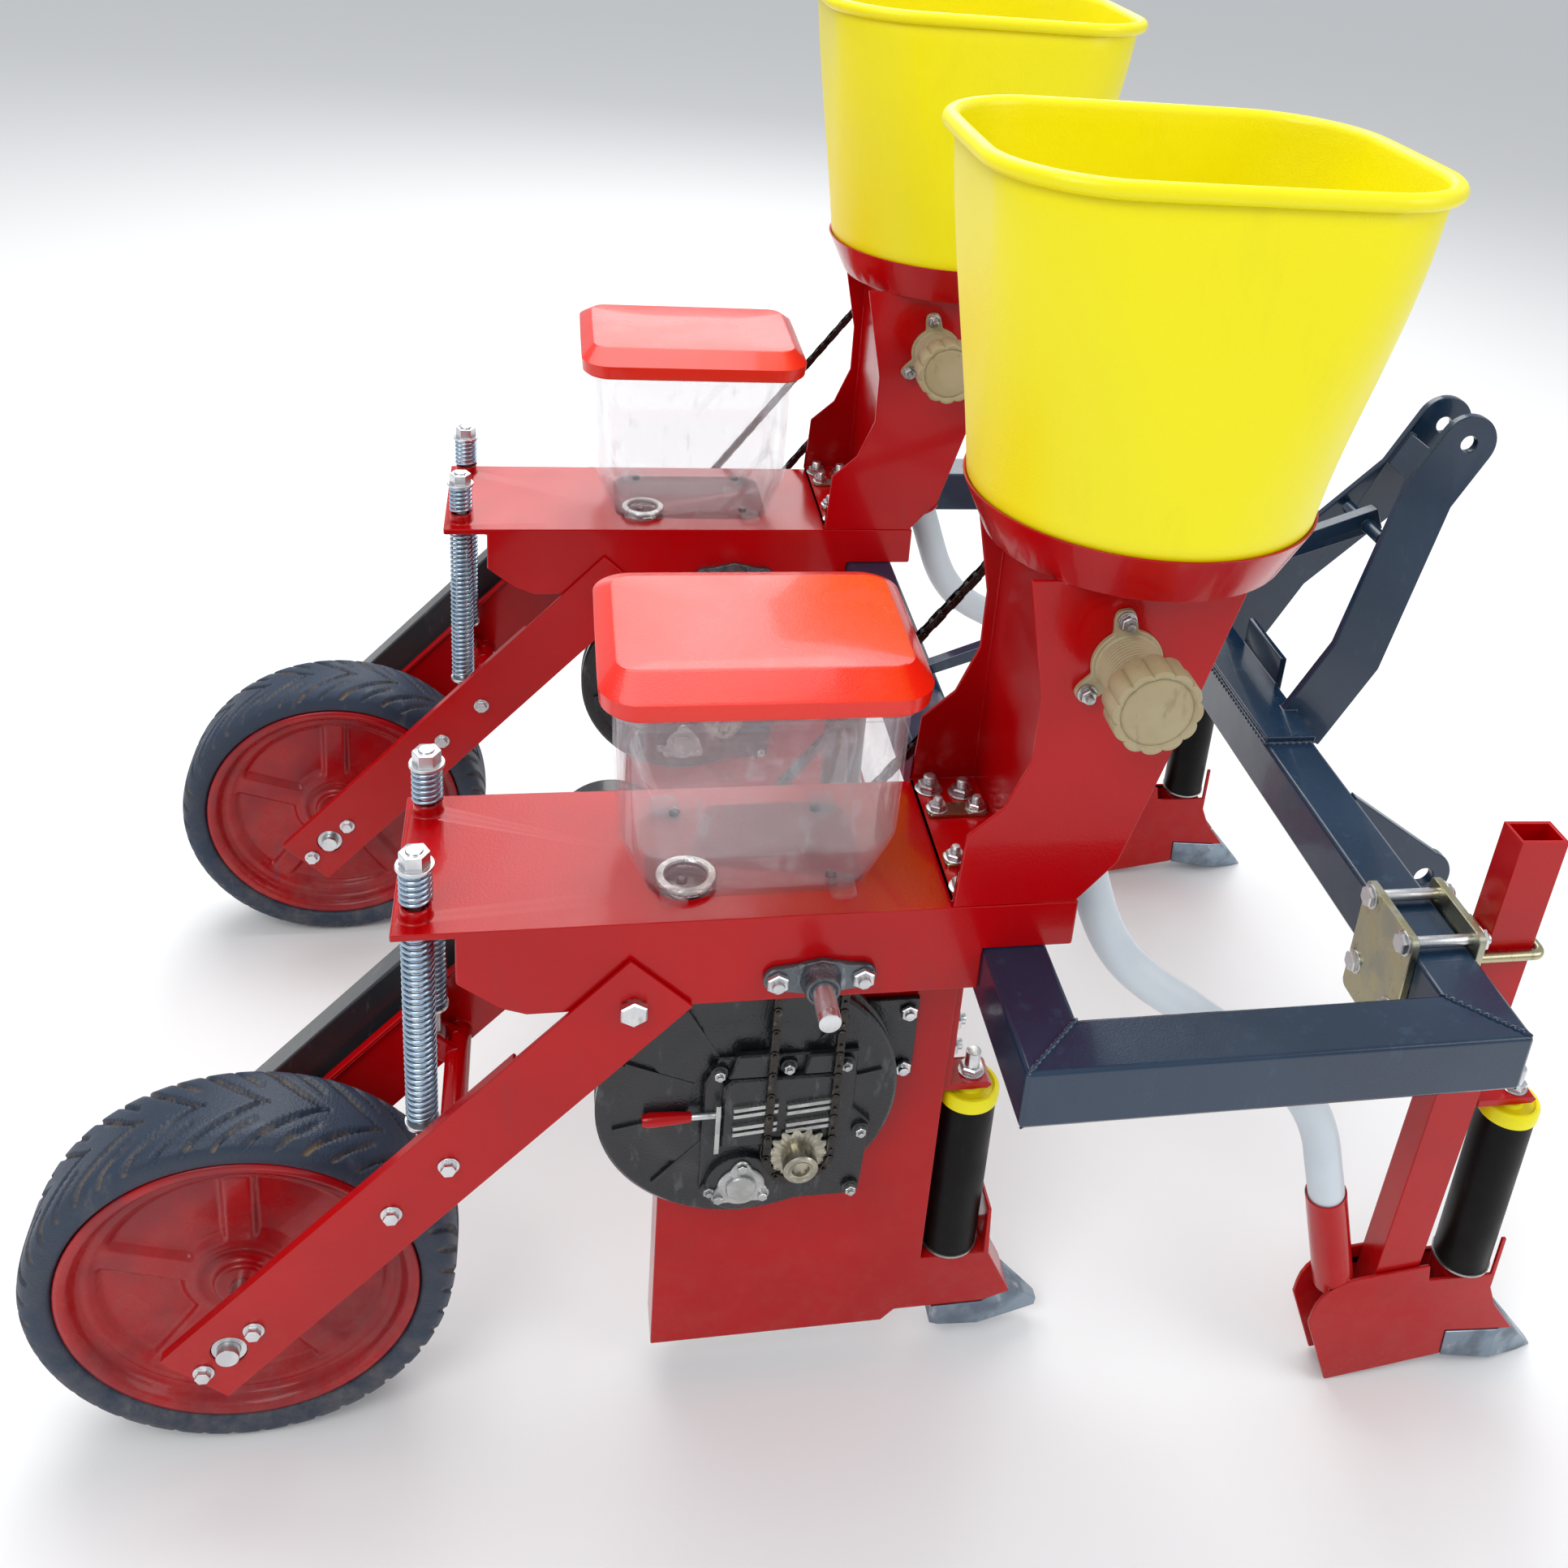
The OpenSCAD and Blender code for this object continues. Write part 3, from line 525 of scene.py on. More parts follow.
class Graph:
    """A node tree with short calls to add nodes and join them."""

    def __init__(self, tree: bpy.types.NodeTree) -> None:
        """Keeps the tree that nodes are added to."""
        self.tree = tree

    def add(self, kind: str, inputs: dict | None = None, **settings: object) -> bpy.types.Node:
        """Adds a node.

        Args:
            kind: Its type without the leading ShaderNode.
            inputs: Socket values, or output sockets to join to them.
            settings: Properties of the node.

        Returns:
            The node.
        """
        node = self.tree.nodes.new("ShaderNode" + kind)
        for key, value in settings.items():
            setattr(node, key, value)
        for key, value in (inputs or {}).items():
            socket = node.inputs[key]
            if isinstance(value, bpy.types.NodeSocket):
                self.tree.links.new(value, socket)
            else:
                socket.default_value = value
        return node

    def math(self, operation: str, a: object, b: object = 0.0, clamp: bool = False) -> object:
        """Output of a Math node on two values or sockets."""
        node = self.add("Math", {0: a, 1: b}, operation=operation, use_clamp=clamp)
        return node.outputs[0]

    def noise(self, where: object, scale: object, detail: float = 3.0, rough: float = 0.5) -> object:
        """Factor of a noise texture."""
        inputs = {"Vector": where, "Scale": scale, "Detail": detail, "Roughness": rough}
        return self.add("TexNoise", inputs).outputs["Fac"]

    def span(self, value: object, low: object, high: object, to_low: object = 0.0,
             to_high: object = 1.0) -> object:
        """Value carried from one range to another, smoothly and clamped."""
        node = self.add("MapRange", interpolation_type="SMOOTHSTEP")
        for key, v in ((0, value), (1, low), (2, high), (3, to_low), (4, to_high)):
            if isinstance(v, bpy.types.NodeSocket):
                self.tree.links.new(v, node.inputs[key])
            else:
                node.inputs[key].default_value = v
        return node.outputs[0]

    def mix(self, share: object, a: object, b: object) -> object:
        """Colour between two colours."""
        node = self.add("Mix", data_type="RGBA")
        for key, v in ((0, share), (6, a), (7, b)):
            if isinstance(v, bpy.types.NodeSocket):
                self.tree.links.new(v, node.inputs[key])
            else:
                node.inputs[key].default_value = v if key == 0 else (*v, 1.0)
        return node.outputs[2]


def new_group(name: str, inputs: dict[str, float], outputs: Sequence[str]
              ) -> tuple[bpy.types.NodeTree, Graph, dict, bpy.types.Node]:
    """Starts a shader node group of float sockets.

    Args:
        name: Name of the group.
        inputs: Name and default of each input.
        outputs: Names of the outputs.

    Returns:
        The tree, its graph, the input sockets by name and the output node.
    """
    tree = bpy.data.node_groups.new(name, "ShaderNodeTree")
    for key, value in inputs.items():
        socket = tree.interface.new_socket(key, in_out="INPUT", socket_type="NodeSocketFloat")
        socket.default_value = value
    for key in outputs:
        tree.interface.new_socket(key, in_out="OUTPUT", socket_type="NodeSocketFloat")
    source = tree.nodes.new("NodeGroupInput")
    sink = tree.nodes.new("NodeGroupOutput")
    return tree, Graph(tree), {k: source.outputs[k] for k in inputs}, sink


def weathering_group() -> bpy.types.NodeTree:
    """Masks of a used surface: broad patches, fine scuffs and dust that thins out with height."""
    tree, g, given, sink = new_group(
        "weathering", {"Patch Scale": 6.0, "Scuff Scale": 60.0, "Dust Top": 0.5},
        ["Patches", "Scuffs", "Dust"])
    where = g.add("TexCoord").outputs["Object"]
    patches = g.span(g.noise(where, given["Patch Scale"], 4.0), 0.38, 0.66)
    streaky = g.add("Mapping", {"Vector": where, "Scale": (1.0, 1.0, 0.35)}).outputs[0]
    scuffs = g.span(g.noise(streaky, given["Scuff Scale"], 6.0, 0.65), 0.57, 0.70)
    height = g.add("SeparateXYZ", {0: where}).outputs[2]
    low = g.math("SUBTRACT", 1.0, g.math("DIVIDE", height, given["Dust Top"]), clamp=True)
    grit = g.span(g.noise(where, 38.0, 8.0, 0.7), 0.35, 0.75)
    dust = g.math("MULTIPLY", g.math("MULTIPLY", low, low), grit)
    for key, value in (("Patches", patches), ("Scuffs", scuffs), ("Dust", dust)):
        tree.links.new(value, sink.inputs[key])
    return tree


def film_group() -> bpy.types.NodeTree:
    """Height of a surface film: fine grain and slow waves, each with its own size and depth."""
    tree, g, given, sink = new_group(
        "film", {"Grain Scale": 900.0, "Grain Depth": 0.3, "Wave Scale": 14.0, "Wave Depth": 1.0},
        ["Height"])
    where = g.add("TexCoord").outputs["Object"]
    grain = g.math("MULTIPLY", g.noise(where, given["Grain Scale"], 2.0), given["Grain Depth"])
    wave = g.math("MULTIPLY", g.noise(where, given["Wave Scale"], 2.0), given["Wave Depth"])
    tree.links.new(g.math("ADD", grain, wave), sink.inputs["Height"])
    return tree


@dataclass(frozen=True)
class Finish:
    """One finish: its colours, how it shines and how it has weathered."""

    title: str
    slot: Slot
    colour: Colour
    patch: Colour
    roughness: tuple[float, float] = (0.3, 0.4)
    metallic: float = 0.0
    coat: float = 0.0
    patch_scale: float = 7.0
    patch_share: float = 0.5
    scuff: Colour = (0.5, 0.4, 0.36)
    scuff_share: float = 0.0
    scuff_scale: float = 60.0
    dust_share: float = 0.25
    dust_top: float = 0.45
    grain_scale: float = 700.0
    grain_depth: float = 0.25
    wave_scale: float = 12.0
    wave_depth: float = 1.0
    bump: float = 0.0012
    specular: float = 0.5

    DUST = (0.34, 0.28, 0.22)

    def build(self) -> bpy.types.Material:
        """Makes the material with the weathering and film groups placed in it."""
        material = bpy.data.materials.new(self.title)
        material.use_nodes = True
        tree = material.node_tree
        g = Graph(tree)
        shader = tree.nodes["Principled BSDF"]
        worn = self.weathering(g)
        share = g.math("MULTIPLY", worn.outputs["Patches"], self.patch_share)
        colour = g.mix(share, self.colour, self.patch)
        if self.scuff_share:
            colour = g.mix(g.math("MULTIPLY", worn.outputs["Scuffs"], self.scuff_share), colour, self.scuff)
        dust = g.math("MULTIPLY", worn.outputs["Dust"], self.dust_share)
        colour = g.mix(dust, colour, self.DUST)
        colour = self.pattern(g, colour)
        tree.links.new(colour, shader.inputs["Base Color"])
        rough = g.span(worn.outputs["Patches"], 0.0, 1.0, *self.roughness)
        tree.links.new(g.math("ADD", rough, g.math("MULTIPLY", dust, 0.5), clamp=True),
                       shader.inputs["Roughness"])
        shader.inputs["Metallic"].default_value = self.metallic
        shader.inputs["Coat Weight"].default_value = self.coat
        shader.inputs["Coat Roughness"].default_value = 0.07
        shader.inputs["Specular IOR Level"].default_value = self.specular
        film = g.add("Group", node_tree=bpy.data.node_groups["film"])
        for key, value in (("Grain Scale", self.grain_scale), ("Grain Depth", self.grain_depth),
                           ("Wave Scale", self.wave_scale), ("Wave Depth", self.wave_depth)):
            film.inputs[key].default_value = value
        bump = g.add("Bump", {"Height": film.outputs["Height"], "Strength": 0.6,
                              "Distance": self.bump})
        tree.links.new(bump.outputs[0], shader.inputs["Normal"])
        return material

    def weathering(self, g: Graph) -> bpy.types.Node:
        """Places the weathering group with this finish's sizes."""
        worn = g.add("Group", node_tree=bpy.data.node_groups["weathering"])
        worn.inputs["Patch Scale"].default_value = self.patch_scale
        worn.inputs["Scuff Scale"].default_value = self.scuff_scale
        worn.inputs["Dust Top"].default_value = self.dust_top
        return worn

    def pattern(self, g: Graph, colour: object) -> object:
        """The colour with this finish's own pattern on it; none here."""
        return colour


@dataclass(frozen=True)
class TyreRubber(Finish):
    """Rubber whose grooves hold dry soil, read from the tread's own attribute."""

    SOIL = (0.16, 0.115, 0.075)

    def pattern(self, g: Graph, colour: object) -> object:
        """Soil in the grooves and a thin trace of it along their rims."""
        groove = g.add("Attribute", attribute_name="groove").outputs["Fac"]
        where = g.add("TexCoord").outputs["Object"]
        patchy = g.span(g.noise(where, 30.0, 6.0, 0.7), 0.42, 0.62)
        return g.mix(g.math("MULTIPLY", groove, patchy), colour, self.SOIL)


@dataclass(frozen=True)
class ClearPlastic(Finish):
    """Clear moulded plastic."""

    HAZE = (0.18, 0.31)
    GLASSY = 0.6

    def build(self) -> bpy.types.Material:
        """Thin see-through plastic whose handling marks are hazier than the rest."""
        material = bpy.data.materials.new(self.title)
        material.use_nodes = True
        g = Graph(material.node_tree)
        shader = material.node_tree.nodes["Principled BSDF"]
        worn = self.weathering(g)
        rough = g.span(worn.outputs["Scuffs"], 0.0, 1.0, *self.roughness)
        material.node_tree.links.new(rough, shader.inputs["Roughness"])
        tint = g.mix(worn.outputs["Patches"], self.colour, self.patch)
        material.node_tree.links.new(tint, shader.inputs["Base Color"])
        haze = g.span(worn.outputs["Scuffs"], 0.0, 1.0, *self.HAZE)
        material.node_tree.links.new(haze, shader.inputs["Alpha"])
        shader.inputs["IOR"].default_value = 1.6
        shader.inputs["Transmission Weight"].default_value = self.GLASSY
        return material


FINISHES: tuple[Finish, ...] = (
    Finish("red_enamel", Slot.RED, (0.42, 0.0, 0.0015), (0.35, 0.0, 0.0015), (0.17, 0.26), coat=0.2,
           specular=0.22, patch_share=0.6, scuff=(0.26, 0.012, 0.014), scuff_share=0.25,
           scuff_scale=24.0, dust_share=0.07, grain_scale=520.0, grain_depth=0.22, wave_scale=9.0,
           wave_depth=1.4),
    Finish("pressed_wheel_enamel", Slot.RED, (0.36, 0.001, 0.004), (0.22, 0.004, 0.009), (0.26, 0.40),
           coat=0.2, specular=0.3, patch_scale=14.0, patch_share=0.8, scuff=(0.16, 0.02, 0.03),
           scuff_share=0.5, scuff_scale=32.0, dust_share=0.16, dust_top=0.5, wave_scale=26.0,
           wave_depth=1.2),
    Finish("navy_enamel", Slot.NAVY, (0.006, 0.022, 0.052), (0.010, 0.034, 0.076), (0.16, 0.26),
           coat=0.35, specular=0.4, scuff=(0.03, 0.075, 0.13), scuff_share=0.3, scuff_scale=40.0,
           dust_share=0.05, wave_depth=1.2),
    Finish("zinc_plate", Slot.ZINC, (0.66, 0.67, 0.68), (0.50, 0.51, 0.53), (0.24, 0.42), metallic=1.0,
           patch_scale=40.0, scuff=(0.36, 0.33, 0.28), scuff_share=0.5, scuff_scale=120.0,
           dust_share=0.2, grain_scale=1200.0, bump=0.0006),
    Finish("yellow_zinc_plate", Slot.YELLOW_ZINC, (0.46, 0.42, 0.26), (0.36, 0.37, 0.31), (0.26, 0.42),
           metallic=1.0, patch_scale=30.0, patch_share=0.8, scuff=(0.22, 0.19, 0.13), scuff_share=0.5,
           scuff_scale=90.0, dust_share=0.1, bump=0.0006),
    Finish("spring_wire", Slot.SPRING, (0.46, 0.58, 0.70), (0.30, 0.42, 0.54), (0.22, 0.36),
           metallic=1.0, patch_scale=60.0, dust_share=0.1, bump=0.0004),
    Finish("chain_steel", Slot.BLACK_STEEL, (0.045, 0.042, 0.040), (0.08, 0.072, 0.064), (0.28, 0.5),
           metallic=1.0, patch_scale=90.0, scuff=(0.26, 0.23, 0.19), scuff_share=0.4,
           scuff_scale=160.0, bump=0.0004),
    Finish("case_enamel", Slot.CASE, (0.022, 0.024, 0.028), (0.045, 0.047, 0.050), (0.2, 0.32),
           coat=0.3, specular=0.4, scuff=(0.14, 0.13, 0.12), scuff_share=0.3, dust_share=0.2),
    Finish("dark_casting", Slot.CAST, (0.10, 0.115, 0.13), (0.20, 0.22, 0.24), (0.3, 0.5),
           metallic=0.85, patch_scale=40.0, scuff=(0.45, 0.47, 0.5), scuff_share=0.5, scuff_scale=70.0,
           grain_scale=420.0, grain_depth=1.0, bump=0.0012),
    Finish("bright_casting", Slot.ZINC, (0.50, 0.51, 0.50), (0.36, 0.37, 0.36), (0.26, 0.46),
           metallic=0.95, patch_scale=60.0, patch_share=0.8, grain_scale=420.0, grain_depth=0.9,
           bump=0.001),
    Finish("brassy_sprocket", Slot.ZINC, (0.42, 0.39, 0.31), (0.26, 0.25, 0.21), (0.26, 0.46),
           metallic=0.95, patch_scale=80.0, patch_share=0.8, scuff=(0.12, 0.10, 0.08), scuff_share=0.5,
           scuff_scale=120.0, bump=0.0006),
    Finish("tan_moulding", Slot.TAN, (0.35, 0.285, 0.16), (0.42, 0.35, 0.22), (0.36, 0.5),
           patch_scale=24.0, scuff=(0.18, 0.14, 0.08), scuff_share=0.4, scuff_scale=80.0,
           dust_share=0.1, grain_scale=900.0, grain_depth=0.5, specular=0.35),
    Finish("yellow_moulding", Slot.YELLOW, (0.84, 0.75, 0.002), (0.87, 0.79, 0.006), (0.30, 0.42),
           specular=0.35, patch_scale=3.0, scuff=(0.58, 0.50, 0.01), scuff_share=0.08,
           scuff_scale=20.0, dust_share=0.0, grain_scale=600.0, grain_depth=0.3, wave_scale=6.0,
           wave_depth=1.4),
    Finish("lid_moulding", Slot.LID, (0.72, 0.012, 0.003), (0.76, 0.028, 0.005), (0.24, 0.36),
           coat=0.25, specular=0.4, patch_scale=6.0, dust_share=0.0, grain_scale=600.0,
           wave_scale=10.0, scuff=(0.62, 0.07, 0.04), scuff_share=0.12, scuff_scale=30.0),
    ClearPlastic("clear_moulding", Slot.CLEAR, (0.80, 0.78, 0.82), (0.72, 0.70, 0.76), (0.05, 0.2)),
    Finish("black_casting", Slot.BLACK, (0.007, 0.008, 0.010), (0.018, 0.020, 0.024), (0.22, 0.4),
           coat=0.25, specular=0.4, patch_scale=22.0, scuff=(0.11, 0.12, 0.14), scuff_share=0.4,
           scuff_scale=60.0, grain_scale=420.0, grain_depth=0.9, dust_share=0.12, bump=0.0012),
    Finish("roller_sleeve", Slot.ROLLER, (0.0025, 0.0025, 0.003), (0.005, 0.005, 0.006), (0.34, 0.5),
           specular=0.12, scuff=(0.03, 0.03, 0.03), scuff_share=0.2, dust_share=0.04,
           grain_scale=900.0),
    TyreRubber("tyre_compound", Slot.TYRE, (0.018, 0.030, 0.054), (0.028, 0.046, 0.082), (0.42, 0.6),
               specular=0.35, patch_scale=9.0, scuff=(0.09, 0.095, 0.11), scuff_share=0.5,
               scuff_scale=34.0, dust_share=0.3, dust_top=0.42, grain_scale=520.0, grain_depth=0.8,
               bump=0.0012),
    Finish("hose_plastic", Slot.HOSE, (0.58, 0.65, 0.71), (0.66, 0.71, 0.75), (0.34, 0.46),
           patch_scale=10.0, dust_share=0.1, dust_top=0.9, grain_scale=300.0, wave_scale=22.0),
    Finish("ground_steel", Slot.POINT, (0.26, 0.33, 0.40), (0.15, 0.19, 0.24), (0.28, 0.5),
           metallic=1.0, patch_scale=30.0, patch_share=0.9, scuff=(0.60, 0.62, 0.64),
           scuff_share=0.6, scuff_scale=50.0, dust_share=0.3, dust_top=0.1, bump=0.001),
)


class Paints:
    """The finished materials by title."""

    def __init__(self) -> None:
        """Builds the shared groups and then every finish."""
        weathering_group()
        film_group()
        self.titles = {f.title: f for f in FINISHES}
        self.made = {f.title: f.build() for f in FINISHES}
        self.by_slot = {f.slot.value: f.title for f in reversed(FINISHES)}

    def dress(self, obj: bpy.types.Object, title: str) -> None:
        """Gives a piece one finish."""
        obj.data.materials.clear()
        obj.data.materials.append(self.made[title])


# ---------------------------------------------------------------- the rows


def middle(node: str) -> Vector:
    """Middle of a CAD node's box."""
    low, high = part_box(node)
    return (low + high) / 2


@dataclass(frozen=True)
class Row:
    """One sowing row: its side and the axes of its turning parts, as (x, z)."""

    side: str
    y: float
    axle: Spot
    pivot: Spot
    drive: Spot
    meter: Spot
    dose: Spot
    fert_y: float
    fert_x: float
    seed_x: float
    hopper: Vector

    @classmethod
    def read(cls, side: str) -> "Row":
        """Reads one row's places from the frame.

        Args:
            side: r or l.

        Returns:
            The row.
        """
        def spot(node: str) -> Spot:
            """Place of a node's middle, as (x, z)."""
            m = middle(f"{node}_{side}")
            return (m.x, m.z)

        fert, seed = middle(f"fert_roller_{side}"), middle(f"seed_roller_{side}")
        return cls(side, middle(f"tyre_{side}").y, spot("tyre"), spot("pivot_shaft"),
                   spot("drive_shaft"), spot("meter_rotor"), spot("dose_rotor"), fert.y, fert.x,
                   seed.x, middle(f"hopper_{side}"))


class Assembly:
    """What every group of pieces shares: the rows, the paints and the calls that place a piece."""

    def __init__(self, frame: dict, paints: Paints, rows: Sequence[Row]) -> None:
        """Keeps the frame, the finishes and the rows."""
        self.frame = frame
        self.paints = paints
        self.rows = rows

    def fit(self, obj: bpy.types.Object, title: str, body: str, nodes: Sequence[str] = ()
            ) -> bpy.types.Object:
        """Finishes a piece: paint, the body it rides on and the CAD nodes it stands for.

        Args:
            obj: The piece.
            title: Title of its finish.
            body: CAD body it rides on.
            nodes: CAD nodes that it replaces.

        Returns:
            The piece.
        """
        self.paints.dress(obj, title)
        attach(obj, body)
        if nodes:
            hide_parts(*nodes)
        LOG.info("%s rides on %s, %d points", obj.name, body, len(obj.data.vertices))
        return obj


# ---------------------------------------------------------------- hoses and camera


class Hoses(Assembly):
    """The two fertilizer hoses, from the stands to the openers' tubes."""

    ROUTE = np.array([
        [187, 0, 640], [198, 0, 611], [208, -1, 583], [219, -4, 554], [233, -9, 527], [252, -15, 503],
        [276, -24, 484], [302, -33, 469], [329, -44, 453], [355, -54, 438], [382, -65, 423],
        [407, -74, 407], [430, -83, 385], [447, -89, 360], [459, -94, 332], [467, -97, 302],
        [475, -98, 274], [483, -98, 244]]) / 1000
    RADIUS = 0.019
    DRIFT = -0.098

    def make(self) -> None:
        """Builds both hoses; each drifts sideways from its row to its own opener."""
        for row in self.rows:
            route = self.ROUTE.copy()
            route[:, 1] = row.y + self.ROUTE[:, 1] / self.DRIFT * (row.fert_y - row.y)
            path = smooth_path(route, 8)
            hose = build(f"fertilizer_hose_{row.side}", tube(path, self.RADIUS, 40, (0, 1, 0)), 60)
            self.fit(hose, "hose_plastic", "root", [f"fert_hose_{row.side}"])


@dataclass(frozen=True)
class Viewpoint:
    """The camera: its place, the way it looks and its lens."""

    place: tuple[float, float, float] = (-0.3131, -1.6018, 1.5631)
    heading: float = 13.57
    tilt: float = -23.50
    roll: float = -5.96
    lens: float = 37.69
    shift_x: float = -0.0783
    shift_y: float = -0.1939

    def make(self) -> None:
        """Makes the scene's camera: turned to its heading, tilted down, then rolled."""
        data = bpy.data.cameras.new("camera")
        data.lens = self.lens
        data.sensor_width = 36.0
        data.shift_x, data.shift_y = self.shift_x, self.shift_y
        camera = add_object("camera", data)
        h, t = math.radians(self.heading), math.radians(self.tilt)
        ahead = Vector((math.sin(h) * math.cos(t), math.cos(h) * math.cos(t), math.sin(t)))
        level = Vector((math.cos(h), -math.sin(h), 0))
        right = Matrix.Rotation(math.radians(self.roll), 3, ahead) @ level
        up = right.cross(ahead)
        basis = Matrix((right, up, -ahead)).transposed().to_4x4()
        camera.matrix_world = Matrix.Translation(self.place) @ basis
        bpy.context.scene.camera = camera


class Studio:
    """Pale floor, even surroundings and large soft lights."""

    def make(self, low: Vector, high: Vector) -> None:
        """Places the floor under the machine and the lights round it.

        Args:
            low: Lowest corner of the machine.
            high: Its highest corner.
        """
        centre = (low + high) / 2
        mesh = bpy.data.meshes.new("floor")
        reach = 14.0
        mesh.from_pydata([(x * reach, y * reach, low.z) for x, y in ((-1, -1), (1, -1), (1, 1), (-1, 1))],
                         [], [(0, 1, 2, 3)])
        floor = add_object("floor", mesh)
        paper = bpy.data.materials.new("paper_floor")
        paper.use_nodes = True
        shader = paper.node_tree.nodes["Principled BSDF"]
        shader.inputs["Base Color"].default_value = (0.86, 0.86, 0.86, 1)
        shader.inputs["Roughness"].default_value = 0.9
        mesh.materials.append(paper)
        floor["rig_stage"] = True
        world = bpy.data.worlds.new("surroundings")
        world.use_nodes = True
        background = world.node_tree.nodes["Background"]
        background.inputs[0].default_value = (0.93, 0.96, 1.0, 1)
        background.inputs[1].default_value = 0.62
        bpy.context.scene.world = world
        bpy.context.scene.view_settings.view_transform = "Standard"
        for name, place, size, power in (
            ("overhead", (-0.4, 1.4, 3.6), 3.2, 125.0),
            ("key", (-2.2, -3.0, 3.4), 2.2, 85.0),
            ("right_fill", (3.2, -2.2, 2.0), 2.4, 45.0),
            ("back", (0.6, 4.0, 2.6), 2.6, 60.0),
        ):
            light = bpy.data.lights.new(name, "AREA")
            light.size = size
            light.energy = power
            lamp = add_object(name, light)
            lamp.location = centre + Vector(place)
            lamp.rotation_euler = (-Vector(place)).to_track_quat("-Z", "Y").to_euler()


# ---------------------------------------------------------------- steelwork


class Steelwork(Assembly):
    """Sheet metal, tubes, shafts and castings that keep the CAD's shape, with rounded edges."""

    ROUNDING = {
        "main_frame": 0.0045, "unit_beam": 0.0022, "hopper_stand": 0.0014, "wheel_arms": 0.0014,
        "hitch_mast": 0.0016, "seed_opener": 0.0014, "fert_opener": 0.0012, "opener_points": 0.0016,
        "chain_case": 0.003,
    }
    SMALL = 0.0006
    TITLES = {"wheel_rim": "pressed_wheel_enamel"}

    def make(self) -> None:
        """Rounds every CAD node that no other group stands for."""
        slots = {s["node"]: s["material_slot"] for s in self.frame["record"]["subparts"]}
        bodies = {n: o["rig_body"] for n, o in self.frame["nodes"].items()}
        for node, obj in sorted(self.frame["nodes"].items()):
            if obj.hide_render:
                continue
            base = node[:-2] if node.endswith(("_r", "_l")) else node
            piece = rounded_copy(node, self.ROUNDING.get(base, self.SMALL))
            title = self.TITLES.get(base, self.paints.by_slot[slots[node]])
            self.fit(piece, title, bodies[node], [node])


# ---------------------------------------------------------------- hoppers and seed boxes


class Hoppers(Assembly):
    """The two yellow fertilizer hoppers with rolled rims."""

    PAN_R = 0.150
    WALL = 0.004
    CORNER = 0.092
    RIM_R = 0.0075

    def rings(self, row: Row, inset: float, levels: Array) -> list[tuple]:
        """Rings of the wall: round at the pan, a rounded rectangle at the rim.

        Args:
            row: The row.
            inset: How far the skin lies inside the outer one.
            levels: Heights as shares from the pan to the rim.

        Returns:
            One ring for each level.
        """
        low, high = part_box(f"hopper_{row.side}")
        x0, x1 = (low.x + high.x) / 2 - 0.003, (low.x + high.x) / 2
        half_x, half_y = (high.x - low.x) / 2 - 0.009, (high.y - low.y) / 2 - 0.009
        out = []
        for u in levels:
            wide = self.PAN_R + (half_x - self.PAN_R) * u
            deep = self.PAN_R + (half_y - self.PAN_R) * u
            corner = min(wide, deep) + (self.CORNER - min(wide, deep)) * float(ease(u * 1.15))
            z = low.z + 0.008 + (high.z - self.RIM_R - low.z - 0.008) * u
            out.append((x0 + (x1 - x0) * u, z, wide - inset, deep - inset, corner - inset))
        return out

    def make(self) -> None:
        """Builds each hopper as one closed skin: outer wall, rolled rim, inner wall and floor."""
        levels = np.linspace(0, 1, 22)
        for row in self.rows:
            outer = self.rings(row, 0.0, levels)
            inner = self.rings(row, self.WALL, levels)
            x, z, wide, deep, corner = outer[-1]
            bead = []
            for a in np.linspace(-0.80, 1.0, 15) * math.pi:
                out = self.RIM_R * (math.cos(a) + 0.35)
                bead.append((x, z + self.RIM_R * math.sin(a), wide + out, deep + out, corner + out))
            floor_z = outer[0][1]
            start = [(outer[0][0], floor_z - 0.008, r, r, r) for r in (0.060, self.PAN_R - 0.0045)]
            end = [(inner[0][0], floor_z - 0.004, 0.060, 0.060, 0.060)]
            skin = start + outer[:-1] + bead + inner[::-1][1:] + end
            hopper = build(f"fertilizer_hopper_{row.side}", loft(skin, row.y, closed=True), 50)
            self.fit(hopper, "yellow_moulding", "root", [f"hopper_{row.side}"])


